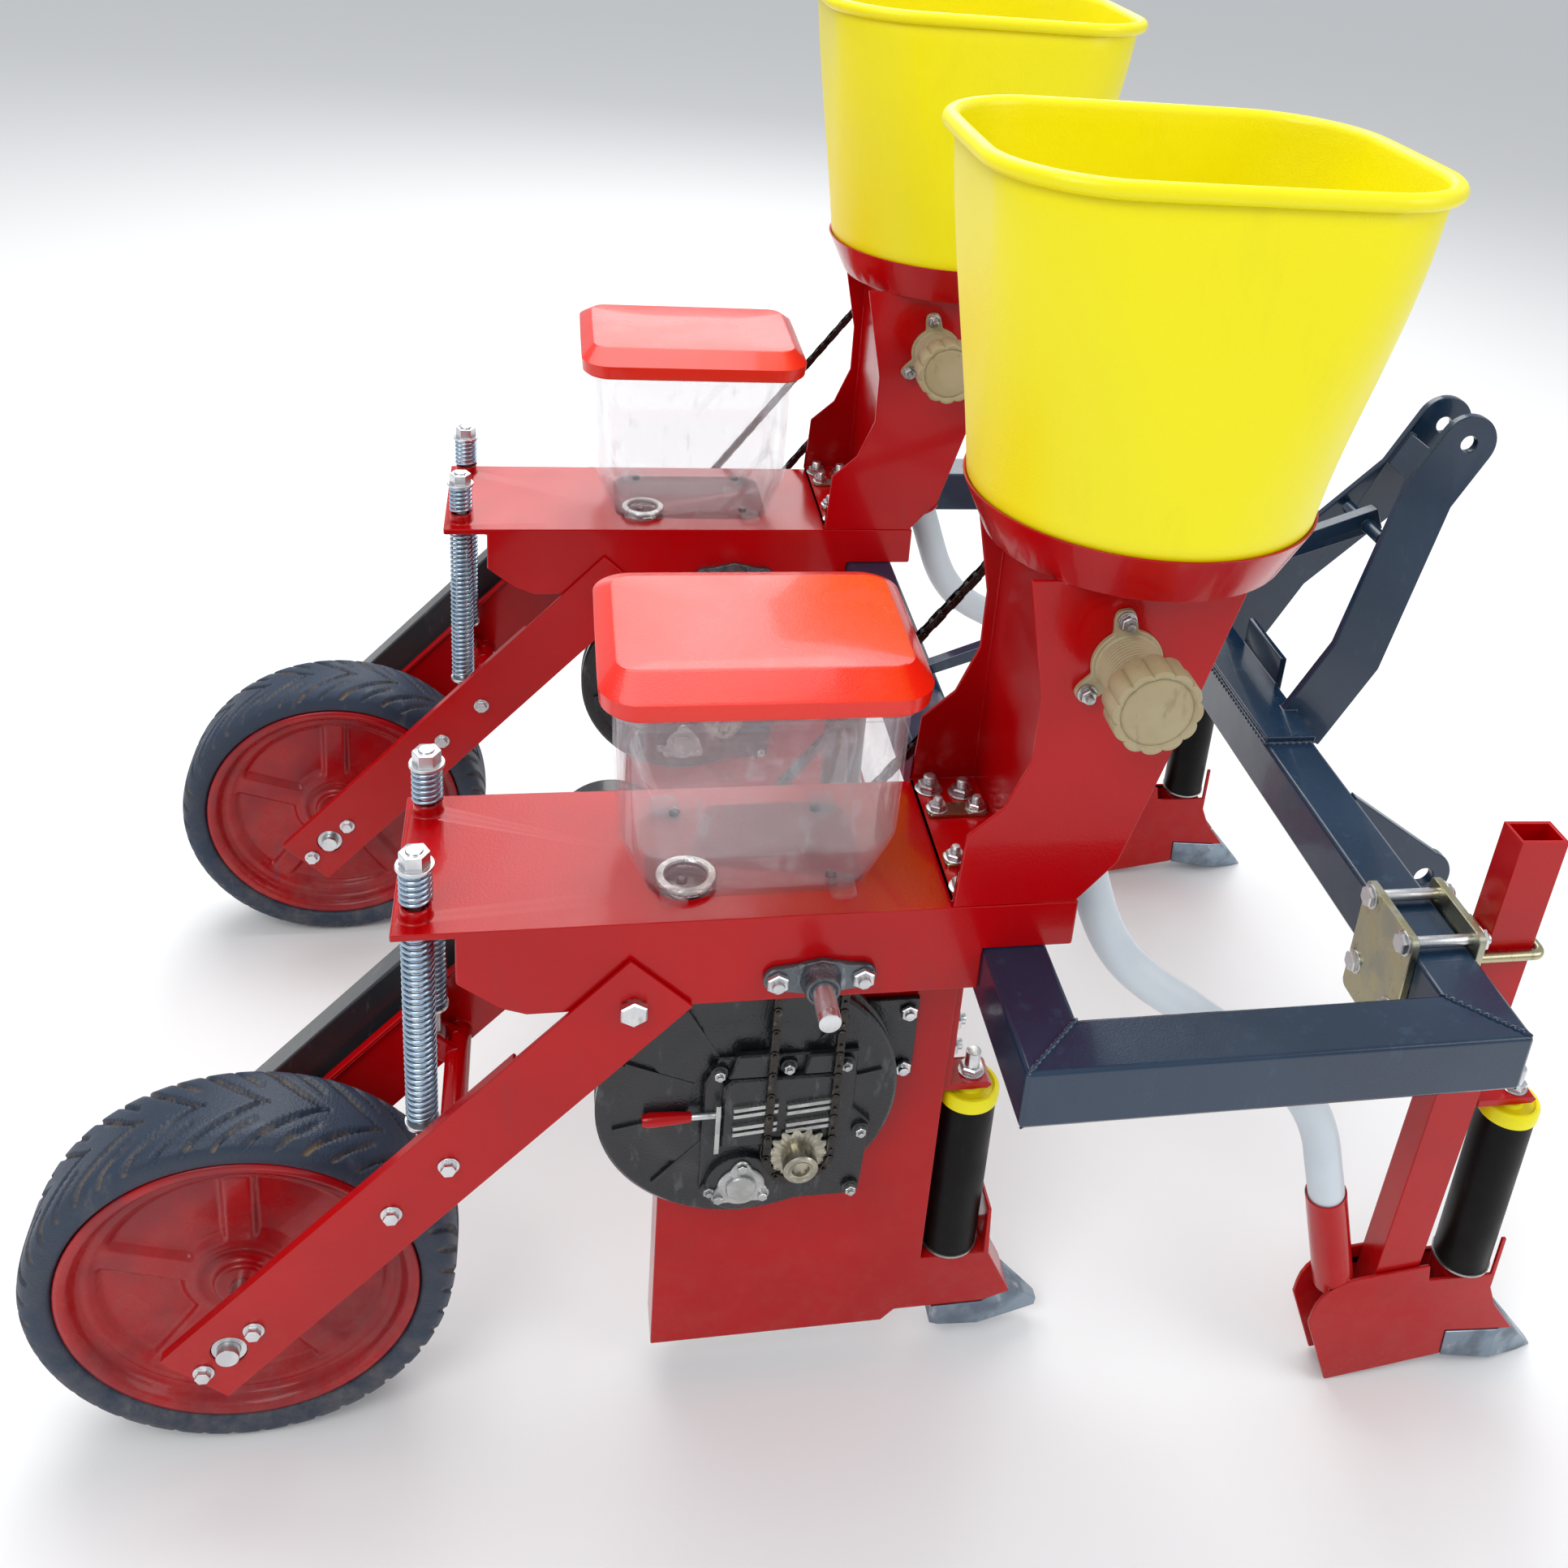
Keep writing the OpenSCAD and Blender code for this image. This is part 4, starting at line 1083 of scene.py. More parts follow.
class SeedBoxes(Assembly):
    """Clear seed boxes with their lids, feet, screws and outlets."""

    WALL = 0.003
    COUNT = 144
    FLOOR_X = -0.128
    OUTLET = (-0.062, -0.045)
    LID_X = -0.134
    LID_Y = 0.114
    PIN = (0.120, 0.862)
    HEIGHT = 0.215

    def lid(self, row: Row) -> None:
        """A hipped lid: skirt, sloping sides and a flat crown, hollow below, with two hinge eyes."""
        low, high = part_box(f"seed_lid_{row.side}")
        x, z0, z1 = self.LID_X, low.z, high.z
        half_x, half_y = (high.x - low.x) / 2, self.LID_Y
        skirt = [(x, z0, half_x - 0.0020, half_y - 0.0020, 0.036),
                 (x, z0 + 0.0012, half_x - 0.0014, half_y - 0.0014, 0.036),
                 (x, z0 + 0.0140, half_x - 0.0003, half_y - 0.0003, 0.036),
                 (x, z0 + 0.0158, half_x, half_y, 0.036),
                 (x, z0 + 0.0172, half_x - 0.0008, half_y - 0.0028, 0.035)]
        crown = [(x, z1 - 0.0014, half_x - 0.0132, half_y - 0.0296, 0.021),
                 (x, z1 - 0.0004, half_x - 0.0146, half_y - 0.0316, 0.019),
                 (x, z1, half_x - 0.0170, half_y - 0.0340, 0.017),
                 (x, z1, 0.040, 0.030, 0.012)]
        outer = skirt + crown
        wall = [(a, b - 0.003, c - 0.003, d - 0.003, e - 0.003) for a, b, c, d, e in outer[:0:-1]]
        wall.append((x, z0, half_x - 0.005, half_y - 0.005, 0.033))
        shape = loft(outer + wall, row.y)
        k, n = len(outer), self.COUNT
        quads = rows_to_quads(len(outer) + len(wall), n, True, True)
        shape.quads = np.vstack([quads[:(k - 1) * n], quads[k * n:]])
        shape.caps = [list(range((k - 1) * n, k * n)), list(range(k * n, (k + 1) * n))[::-1]]
        lid = build(f"seed_box_lid_{row.side}", shape, 22)
        self.fit(lid, "lid_moulding", f"lid_{row.side}", [f"seed_lid_{row.side}"])
        eyes = []
        for side in (-1, 1):
            at = (x + side * 0.070, row.y + self.PIN[0], self.PIN[1])
            eyes.append(lathe([(0.0023, -0.012), (0.0040, -0.012), (0.0045, -0.0112), (0.0045, 0.0112),
                               (0.0040, 0.012), (0.0023, 0.012)], at, Axis.X, 28, True))
            web = np.array([(-0.0085, -0.0035), (-0.0028, -0.0035), (-0.0028, 0.0035), (-0.0085, 0.0035)])
            eyes.append(prism(web, -0.0118, 0.0118, Axis.X, 0.0004).moved(*at))
        self.fit(build(f"seed_lid_eyes_{row.side}", together(eyes)), "lid_moulding", f"lid_{row.side}")

    def hinge(self, row: Row) -> None:
        """The two lugs of the box with the studs that the lid's eyes turn on."""
        parts = []
        for side in (-1, 1):
            at = (self.LID_X + side * 0.048, row.y + self.PIN[0], self.PIN[1])
            arm = np.array([(-0.017, -0.013), (0.004, -0.013), (0.004, 0.0), (-0.0042, 0.0),
                            (-0.0042, -0.0108), (-0.017, -0.0108)])
            parts.append(prism(arm, -0.008, 0.008, Axis.X, 0.0002).moved(*at))
            parts.append(rod(at, -0.008, 0.008, 0.0045, Axis.X, 28))
            ends = (0.006, 0.036) if side > 0 else (-0.036, -0.006)
            parts.append(rod(at, ends[0], ends[1], 0.002, Axis.X, 16, 0.0004))
        self.fit(build(f"seed_box_hinge_{row.side}", together(parts)), "clear_moulding", "root")

    def box(self, row: Row) -> None:
        """A tapered clear box with a flanged rim and a floor."""
        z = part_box(f"seed_box_{row.side}")[0].z
        rim, base, top_x, t = z + self.HEIGHT, self.FLOOR_X, self.LID_X, self.WALL
        wall = [(base, z, 0.0965, 0.0675, 0.026), (base, z + 0.002, 0.0975, 0.0685, 0.026),
                (-0.1285, z + 0.014, 0.1020, 0.0735, 0.027), (-0.1303, z + 0.054, 0.1160, 0.0885, 0.029),
                (-0.1308, z + 0.062, 0.1186, 0.0915, 0.030), (-0.1312, z + 0.070, 0.1200, 0.0932, 0.030),
                (-0.1325, z + 0.130, 0.1214, 0.0972, 0.030), (top_x, rim - 0.0180, 0.1230, 0.1020, 0.031)]
        wall += [(top_x, rim - drop, half_x, half_x - 0.020, corner) for drop, half_x, corner in (
            (0.0160, 0.1275, 0.034), (0.0155, 0.128, 0.034), (0.0125, 0.128, 0.034),
            (0.0120, 0.1275, 0.034), (0.0110, 0.124, 0.032), (0.0008, 0.124, 0.032),
            (0.0, 0.1232, 0.032))]
        inner = [(x, zz, hx - t, hy - t, c - t) for x, zz, hx, hy, c in
                 (wall[-1], wall[7], wall[6], wall[5], wall[4], wall[3], wall[2])]
        inner.append((base, z + 0.006, 0.0955, 0.0665, 0.023))
        inner.append((base, z + 0.004, 0.0930, 0.0640, 0.022))
        ring = [(base + self.OUTLET[0], z + h, 0.018, 0.018, 0.018) for h in (0.004, 0.0)]
        skin = wall + inner
        shape = loft(skin, row.y, closed=True)
        n = self.COUNT
        cut = len(skin) * n
        outlet = loft(ring, row.y + self.OUTLET[1])
        shape = Shape(np.vstack([shape.points, outlet.points]),
                      np.vstack([shape.quads[:-n], outlet.quads + cut,
                                 self.bridge(cut - n, cut), self.bridge(cut + n, 0)]), [])
        box = build(f"clear_seed_box_{row.side}", shape, 40)
        self.fit(box, "clear_moulding", "root", [f"seed_box_{row.side}"])

    def bridge(self, first: int, second: int) -> Array:
        """Quads between two rings of points that start at the given numbers."""
        i = np.arange(self.COUNT)
        k = (i + 1) % self.COUNT
        return np.stack([first + i, first + k, second + k, second + i], -1)

    def fittings(self, row: Row) -> None:
        """Four clear feet with black screws, and the plated rim of the outlet."""
        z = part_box(f"seed_box_{row.side}")[0].z
        feet, screws = [], []
        for sx in (-1, 1):
            for sy in (-1, 1):
                cx, cy = self.FLOOR_X + sx * 0.074, row.y + sy * 0.058
                feet.append(prism(soft_rectangle(0.012, 0.016, 0.006, 40) + (cx, cy + sy * 0.006),
                                  z - 0.0002, z + 0.005, Axis.Z, 0.001))
                screws.append(lathe([(0.0001, 0.0085), (0.003, 0.0083), (0.0048, 0.0068),
                                     (0.0052, 0.005), (0.0052, 0.0042), (0.0001, 0.004)],
                                    (cx - sx * 0.008, cy - sy * 0.008, z), Axis.Z, 24))
        self.fit(build(f"seed_box_feet_{row.side}", together(feet)), "clear_moulding", "root")
        self.fit(build(f"seed_box_screws_{row.side}", together(screws)), "black_casting", "root")
        mouth = (self.FLOOR_X + self.OUTLET[0], row.y + self.OUTLET[1], z)
        rim = lathe([(0.0185, 0.0042), (0.0185, 0.0075), (0.020, 0.009), (0.026, 0.0085),
                     (0.027, 0.007), (0.027, 0.0045)], mouth, Axis.Z, 48, True)
        self.fit(build(f"seed_outlet_rim_{row.side}", rim), "bright_casting", "root")

    def make(self) -> None:
        """Builds both boxes with their lids and fittings."""
        for row in self.rows:
            self.box(row)
            self.lid(row)
            self.hinge(row)
            self.fittings(row)


# ---------------------------------------------------------------- wheels and springs


class Wheels(Assembly):
    """Ground wheels: pressed rims with five spokes, and tyres with a chevron tread."""

    RADIUS = 0.195
    TREADS = 22
    GROOVE = 0.0042
    SPOKES = 5

    def tyre(self, row: Row) -> None:
        """The tyre: a section turned round the axle, with grooves pressed into its tread.

        A groove is where the angle, in treads, less a lean that grows with the
        distance from the middle, is near a whole number. Short grooves lie
        halfway between them near the shoulders.
        """
        half = np.array([[0.1530, 0.0], [0.1530, -0.020], [0.1590, -0.0285], [0.1635, -0.0425],
                         [0.1680, -0.0465], [0.1760, -0.0480], [0.1830, -0.0470], [0.1880, -0.0440],
                         [0.1925, -0.0370], [0.1945, -0.0240], [0.1950, -0.0100], [0.1950, 0.0]])
        half = smooth_path(half, 4)
        section = np.vstack([half, (half * (1, -1))[::-1][1:-1]])
        count = 880
        angle = angles(count)
        r, y = section[:, 0, None], section[:, 1, None]
        edge = np.abs(y) / 0.044
        phase = self.TREADS * angle[None] / TURN - 1.15 * edge**0.8
        pitch = TURN * self.RADIUS / self.TREADS
        near = np.abs((phase + 0.5) % 1 - 0.5) * pitch * 0.62
        short = np.abs(phase % 1 - 0.5) * pitch * 0.62
        tread = ease((r - 0.181) / 0.006)
        groove = 1 - ease((near - 0.0008) / 0.0022)
        branch = (1 - ease((short - 0.0006) / 0.0018)) * ease((edge - 0.35) / 0.15)
        cut = tread * np.maximum(groove, 0.8 * branch)
        radius = np.maximum(r - self.GROOVE * cut, 0.150)
        flat = radius[..., None] * circle(count)[None]
        points = place(flat, np.broadcast_to(y, radius.shape), Axis.Y)
        points = points + np.array([row.axle[0], row.y, row.axle[1]])
        shape = Shape.grid(points, wrap_rows=True)
        tyre = build(f"ground_tyre_{row.side}", shape, 50)
        attribute = tyre.data.attributes.new("groove", "FLOAT", "POINT")
        if len(tyre.data.vertices) == cut.size:
            attribute.data.foreach_set("value", cut.astype(np.float32).ravel())
        self.fit(tyre, "tyre_compound", f"wheel_{row.side}", [f"tyre_{row.side}"])

    def rim(self, row: Row) -> None:
        """The rim: two discs and a barrel, with triangular panels pressed in between the spokes."""
        half = np.array([[0.0102, -0.034], [0.0235, -0.034], [0.0250, -0.0325], [0.0262, -0.0270],
                         [0.0300, -0.0255], [0.0900, -0.0262], [0.1340, -0.0262], [0.1400, -0.0280],
                         [0.1455, -0.0330], [0.1490, -0.0400], [0.1520, -0.0435], [0.1570, -0.0448],
                         [0.1610, -0.0440], [0.1622, -0.0420], [0.1590, -0.0290], [0.1528, -0.0200],
                         [0.1528, 0.0]])
        half = resample(half, 0.0028)
        section = np.vstack([half, (half * (1, -1))[::-1][1:]])
        count = 300
        angle = angles(count)
        r, y = section[:, 0, None], section[:, 1, None]
        off = np.abs((angle[None] / TURN * self.SPOKES + 0.5) % 1 - 0.5) * TURN / self.SPOKES
        across = r * np.sin(np.minimum(off, math.pi / 2))
        panel = ease((across - 0.011) / 0.007) * ease((r - 0.050) / 0.008) * ease((0.131 - r) / 0.007)
        ridge = np.exp(-((r - 0.1365) / 0.0035) ** 2) + 0.6 * np.exp(-((r - 0.041) / 0.004) ** 2)
        disc = (r > 0.030) & (r < 0.145)
        lift = np.where(disc, 0.0035 * ridge - 0.0065 * panel, 0.0)
        y = y + np.sign(y) * lift
        flat = np.broadcast_to(r, (len(section), count))[..., None] * np.stack(
            [np.cos(angle + 0.3), np.sin(angle + 0.3)], -1)[None]
        points = place(flat, y, Axis.Y) + np.array([row.axle[0], row.y, row.axle[1]])
        rim = build(f"wheel_disc_{row.side}", Shape.grid(points, wrap_rows=True), 60)
        self.fit(rim, "pressed_wheel_enamel", f"wheel_{row.side}", [f"wheel_rim_{row.side}"])

    def make(self) -> None:
        """Builds both wheels."""
        for row in self.rows:
            self.tyre(row)
            self.rim(row)


class Springs(Assembly):
    """Pressure springs round the rods: wires carried along helices of even pitch."""

    COIL_R = 0.0122
    WIRE_R = 0.0019
    PITCH = 0.0064

    def coil(self, x: float, y: float, low: float, high: float) -> Shape:
        """One spring.

        Args:
            x: Place of its axis.
            y: Place of its axis.
            low: Its lower end.
            high: Its upper end.

        Returns:
            The wire: x and y go round the axis while z climbs.
        """
        turns = max(3, round((high - low) / self.PITCH))
        t = np.linspace(0, 1, turns * 20 + 1)
        a = t * turns * TURN
        path = np.stack([x + self.COIL_R * np.cos(a), y + self.COIL_R * np.sin(a),
                         low + self.WIRE_R + (high - low - 2 * self.WIRE_R) * t], -1)
        return tube(path, self.WIRE_R, 7, (0, 0, 1))

    def make(self) -> None:
        """Builds the long and the short springs of both rows."""
        for row in self.rows:
            s = row.side
            for node in (f"springs_{s}", f"rebound_springs_{s}"):
                low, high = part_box(node)
                x, reach = (low.x + high.x) / 2, (high.y - low.y) / 2 - self.COIL_R - 0.002
                shape = together(self.coil(x, row.y + k * reach, low.z, high.z) for k in (-1, 1))
                obj = self.fit(build(f"{node}_wire", shape, 60), "spring_wire", f"rods_{s}", [node])
                if node.startswith("springs"):
                    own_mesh(obj)


# ---------------------------------------------------------------- chains and shafts


class Drive(Assembly):
    """Roller chains, toothed sprockets and the shafts that carry them."""

    PITCH = 0.0127
    SPROCKET_W = 0.0050

    def loop(self, a: Spot, b: Spot, radius: float) -> tuple[Array, Array, float]:
        """Link places along a chain round two equal sprockets.

        Args:
            a: Centre of the first sprocket, as (x, z).
            b: Centre of the other.
            radius: Radius of the chain's line.

        Returns:
            Middles (n x 2), directions (n x 2) and the true pitch.
        """
        first, second = np.array(a), np.array(b)
        run = np.linalg.norm(second - first)
        ahead = (second - first) / run
        side = np.array([ahead[1], -ahead[0]])
        bend = math.pi * radius
        total = 2 * (run + bend)
        n = int(round(total / self.PITCH / 2)) * 2
        s = np.arange(n) * total / n
        spots, way = np.zeros((n, 2)), np.zeros((n, 2))
        legs = np.minimum((s >= run).astype(int) + (s >= run + bend) + (s >= 2 * run + bend), 3)
        for leg, (origin, direction, out) in enumerate((
                (first, ahead, side), (second, ahead, side),
                (second, -ahead, -side), (first, -ahead, -side))):
            pick = legs == leg
            local = s[pick] - (0, run, run + bend, 2 * run + bend)[leg]
            if leg % 2 == 0:
                spots[pick] = origin + out * radius + local[:, None] * direction
                way[pick] = direction
            else:
                turn = (local / radius)[:, None]
                spots[pick] = origin + radius * (np.cos(turn) * out + np.sin(turn) * direction)
                way[pick] = np.cos(turn) * direction - np.sin(turn) * out
        return spots, way, total / n

    def link(self, pitch: float, wide: float) -> Shape:
        """One link along its own x: two round-ended plates and a roller at its first pin."""
        ends = circle(10)
        grow = np.where(ends[:, :1] > 0, pitch / 2, -pitch / 2)
        outline = ends * (0.0041, 0.0041) + np.hstack([grow, np.zeros_like(grow)])
        plates = [prism(outline, k * wide, k * wide + 0.0011, Axis.Y, 0.0003) for k in (-1, 1)]
        roller = [rod((-pitch / 2, 0, 0), -0.0026, 0.0026, 0.0037, Axis.Y, 10, 0.0003),
                  rod((-pitch / 2, 0, 0), -wide - 0.0016, wide + 0.0022, 0.0017, Axis.Y, 8, 0.0002)]
        return together(plates + roller)

    def chain(self, name: str, a: Spot, b: Spot, radius: float, y: float) -> Shape:
        """A closed chain: every other link is the wide outer one.

        Args:
            name: What it is, for the log.
            a: Centre of the first sprocket.
            b: Centre of the other.
            radius: Radius of the chain's line.
            y: Sideways place of its middle.

        Returns:
            All the links.
        """
        places, ways, pitch = self.loop(a, b, radius)
        out = []
        for odd, wide in ((0, 0.0028), (1, 0.0041)):
            part = self.link(pitch, wide)
            p, w = places[odd::2], ways[odd::2]
            x, z = part.points[:, 0], part.points[:, 2]
            spun = np.zeros((len(p), len(x), 3))
            spun[..., 0] = p[:, None, 0] + w[:, None, 0] * x - w[:, None, 1] * z
            spun[..., 1] = y + part.points[:, 1]
            spun[..., 2] = p[:, None, 1] + w[:, None, 1] * x + w[:, None, 0] * z
            n = len(x)
            shift = np.arange(len(p))[:, None, None] * n
            quads = (part.quads[None] + shift).reshape(-1, 4)
            caps = [[k + i * n for k in cap] for i in range(len(p)) for cap in part.caps]
            out.append(Shape(spun.reshape(-1, 3), quads, caps))
        LOG.info("%s has %d links", name, len(places))
        return together(out)

    def sprocket(self, centre: Spot, y: float, radius: float, bore: float) -> Shape:
        """A toothed disc with a hub bore: the rim swings between root and tip once a tooth."""
        teeth = int(round(TURN * (radius + 0.0035) / self.PITCH))
        count = teeth * 12
        wave = np.cos(angles(count) * teeth)
        rim = radius + 0.0022 + 0.0030 * np.sign(wave) * np.abs(wave) ** 0.7
        ring = circle(count)
        w = self.SPROCKET_W / 2
        stack = [(bore * np.ones(count), -w), (rim - 0.0035, -w), (rim, -w * 0.35), (rim, w * 0.35),
                 (rim - 0.0035, w), (bore * np.ones(count), w)]
        grid = np.stack([place(r[:, None] * ring, np.full(count, at), Axis.Y) for r, at in stack])
        return Shape.grid(grid, wrap_rows=True).moved(centre[0], y, centre[1])

    def shafts(self, row: Row) -> None:
        """The turning shafts with their sprockets and end nuts."""
        def at(spot: Spot) -> tuple[float, float, float]:
            """The spot on the row's middle plane."""
            return (spot[0], row.y, spot[1])

        s, y = row.side, row.y
        pivot = together([rod(at(row.pivot), -0.110, 0.140, 0.010),
                          nut(at(row.pivot), -0.113, 0.009, 0.013, Axis.Y),
                          self.sprocket(row.pivot, y + 0.132, 0.020, 0.0095),
                          self.sprocket(row.pivot, y + 0.040, 0.026, 0.0095)])
        drive = together([rod(at(row.drive), -0.161, 0.126, 0.010, edge=0.0012),
                          rod(at(row.drive), -0.092, -0.068, 0.016),
                          self.sprocket(row.drive, y + 0.040, 0.026, 0.0095),
                          self.sprocket(row.drive, y - 0.076, 0.027, 0.0095),
                          self.sprocket(row.drive, y + 0.116, 0.036, 0.0095),
                          rod(at(row.drive), 0.108, 0.124, 0.018)])
        hub = [(0.0085, -0.0780), (0.0165, -0.0780), (0.0165, -0.0960), (0.0150, -0.0975),
               (0.0120, -0.0980), (0.0105, -0.0965), (0.0085, -0.0960)]
        meter = together([rod(at(row.meter), -0.0935, -0.040, 0.0086),
                          lathe(hub, at(row.meter), Axis.Y, 48, True),
                          self.sprocket(row.meter, y - 0.076, 0.027, 0.0084)])
        dose = together([rod(at(row.dose), -0.150, 0.124, 0.010),
                         rod(at(row.dose), -0.070, 0.070, 0.032),
                         rod(at(row.dose), 0.100, 0.116, 0.017),
                         self.sprocket(row.dose, y + 0.116, 0.036, 0.0095)])
        for name, shape, body, title in (
                ("pivot_shaft", pivot, "pivot", "zinc_plate"),
                ("drive_shaft", drive, "drive", "zinc_plate"),
                ("meter_rotor", meter, "meter", "brassy_sprocket"),
                ("dose_rotor", dose, "dose", "zinc_plate")):
            self.fit(build(f"{name}_toothed_{s}", shape), title, f"{body}_{s}", [f"{name}_{s}"])

    def make(self) -> None:
        """Builds the shafts and all the chains."""
        open_chains = []
        for row in self.rows:
            self.shafts(row)
            y = row.y
            open_chains += [self.chain("cross chain", row.pivot, row.drive, 0.0295, y + 0.040),
                            self.chain("meter chain", row.meter, row.drive, 0.0305, y - 0.076),
                            self.chain("dose chain", row.drive, row.dose, 0.0395, y + 0.116)]
            sealed = self.chain("wheel chain", row.axle, row.pivot, 0.0235, y + 0.132)
            self.fit(build(f"wheel_chain_links_{row.side}", sealed), "chain_steel",
                     f"arm_{row.side}", [f"wheel_chain_{row.side}"])
        for k, row in enumerate(self.rows):
            shape = together(open_chains[3 * k: 3 * k + 3])
            obj = build(f"drive_chain_links_{row.side}", shape)
            self.fit(obj, "chain_steel", "root", ["drive_chains"])


# ---------------------------------------------------------------- metering


class Metering(Assembly):
    """The seed metering casting, and the dose adjuster with its scalloped cap."""

    DRUM = (-0.048, 0.055)
    DRUM_R = 0.142
    LOBES = 12
    STUDS = ((-0.078, 0.098), (0.040, 0.100), (0.060, 0.016), (0.056, -0.058), (-0.082, -0.045),
             (-0.014, 0.101))

    def drum(self, row: Row) -> None:
        """The round housing: a turned casting with a raised rim and ribs, and its neck."""
        x, z = row.meter[0] + self.DRUM[0], row.meter[1] + self.DRUM[1]
        r = self.DRUM_R
        profile = [(r - 0.003, -0.0315), (r, -0.0335), (r, -0.0400), (r - 0.006, -0.0425),
                   (r - 0.006, -0.0480), (r, -0.0505), (r, -0.0565), (r - 0.003, -0.0585),
                   (r - 0.012, -0.0590), (r - 0.016, -0.0575), (0.100, -0.0575), (0.094, -0.0600),
                   (0.060, -0.0600), (0.055, -0.0575), (0.0001, -0.0575)]
        parts = [lathe(profile + [(0.0001, -0.0325), (r - 0.02, -0.0325)], (x, row.y, z), Axis.Y, 96)]
        for k in range(10):
            a = TURN * k / 10 + 0.2
            way = np.array([math.cos(a), math.sin(a)])
            side = np.array([-way[1], way[0]]) * 0.002
            outline = np.array([way * 0.058 + side, way * 0.128 + side,
                                way * 0.128 - side, way * 0.058 - side])
            parts.append(prism(outline, -0.0605, -0.056, Axis.Y, 0.0005).moved(x, row.y, z))
        parts.append(rod((-0.190, row.y - 0.045, 0), 0.530, 0.648, 0.022, Axis.Z, 40, 0.001))
        bracket = np.array([(-0.010, 0.395), (0.040, 0.395), (0.040, 0.490), (-0.010, 0.490)])
        parts.append(prism(bracket, -0.032, -0.0255, Axis.Y, 0.001).moved(0, row.y, 0))
        self.fit(build(f"seed_meter_housing_{row.side}", together(parts), 30), "black_casting", "root",
                 [f"meter_housing_{row.side}"])

    def gearbox(self, row: Row) -> None:
        """The gearbox: stepped black cover, machined bright ribs, bearing flange and shift lever."""
        y, s = row.y, row.side
        mx, mz = row.meter
        plate = np.array([(-0.091, -0.050), (-0.076, -0.070), (0.050, -0.070), (0.066, -0.058),
                          (0.070, 0.020), (0.052, 0.040), (0.052, 0.112), (-0.078, 0.112),
                          (-0.091, 0.080)])
        block = np.array([(-0.074, 0.012), (0.030, 0.012), (0.034, 0.018), (0.034, 0.084),
                          (0.026, 0.092), (-0.066, 0.092), (-0.074, 0.084)])
        cover = [prism(plate, -0.0645, -0.056, Axis.Y, 0.0018),
                 prism(block, -0.0735, -0.0635, Axis.Y, 0.0025),
                 rod((0, 0, 0), -0.0715, -0.060, 0.036, edge=0.002),
                 rod((-0.052, 0, -0.038), -0.0715, -0.060, 0.034, edge=0.0025),
                 prism(np.array([(-0.070, 0.094), (-0.024, 0.094), (-0.028, 0.120), (-0.062, 0.120)]),
                       -0.0725, -0.0635, Axis.Y, 0.002),
                 prism(np.array([(0.000, 0.094), (0.034, 0.094), (0.030, 0.116), (0.004, 0.116)]),
                       -0.0725, -0.0635, Axis.Y, 0.002)]
        for px, pz in self.STUDS:
            cover.append(rod((px, 0, pz), -0.0685, -0.060, 0.0085, edge=0.001, count=20))
        self.fit(build(f"meter_gearbox_{s}", together(c.moved(mx, y, mz) for c in cover), 30),
                 "black_casting", "root")
        ribs = []
        for z0 in (0.028, 0.050):
            for x0, x1 in ((-0.064, -0.022), (-0.014, 0.028)):
                for lift in (0.0, 0.0075):
                    a, b = z0 + lift, z0 + lift + 0.0042
                    bar = np.array([(x0, a), (x1, a + 0.004), (x1, b + 0.004), (x0, b)])
                    ribs.append(prism(bar, -0.0772, -0.0732, Axis.Y, 0.0008))
        upright = np.array([(-0.080, 0.006), (-0.0755, 0.006), (-0.0755, 0.064), (-0.080, 0.064)])
        ribs.append(prism(upright, -0.0752, -0.064, Axis.Y, 0.0008))
        a = angles(96)
        reach = 0.0225 + 0.0085 * np.maximum(0, np.cos(3 * (a - math.pi / 2))) ** 1.5
        ribs.append(prism(circle(96) * reach[:, None] + (-0.052, -0.038), -0.0752, -0.0708, Axis.Y, 0.0012))
        ribs.append(lathe([(0.0001, -0.079), (0.011, -0.0795), (0.0135, -0.0788), (0.0145, -0.0775),
                           (0.0145, -0.0740), (0.0001, -0.0738)], (-0.052, 0, -0.038), Axis.Y, 40))
        for k in range(3):
            b = math.pi / 2 + TURN * k / 3
            ribs.append(nut((-0.052 + 0.0245 * math.cos(b), 0, -0.038 + 0.0245 * math.sin(b)), -0.0790,
                            0.0042, 0.0050, Axis.Y))
        for px, pz in self.STUDS:
            ribs.append(nut((px, 0, pz), -0.0735, 0.0055, 0.0058, Axis.Y))
            ribs.append(rod((px, 0, pz), -0.0762, -0.0725, 0.0030, edge=0.0006, count=16))
        self.fit(build(f"meter_bright_parts_{s}", together(r.moved(mx, y, mz) for r in ribs)),
                 "bright_casting", "root")
        grip = lathe([(0.0001, -0.050), (0.0055, -0.049), (0.0072, -0.043), (0.0062, -0.020),
                      (0.0048, -0.004), (0.0001, -0.003)], (mx - 0.098, y - 0.066, mz + 0.046), Axis.X, 24)
        self.fit(build(f"shift_lever_grip_{s}", grip), "red_enamel", "root")
        stem = rod((mx - 0.098, y - 0.066, mz + 0.046), -0.006, 0.026, 0.0034, Axis.X, 16)
        self.fit(build(f"shift_lever_stem_{s}", stem), "zinc_plate", "root")

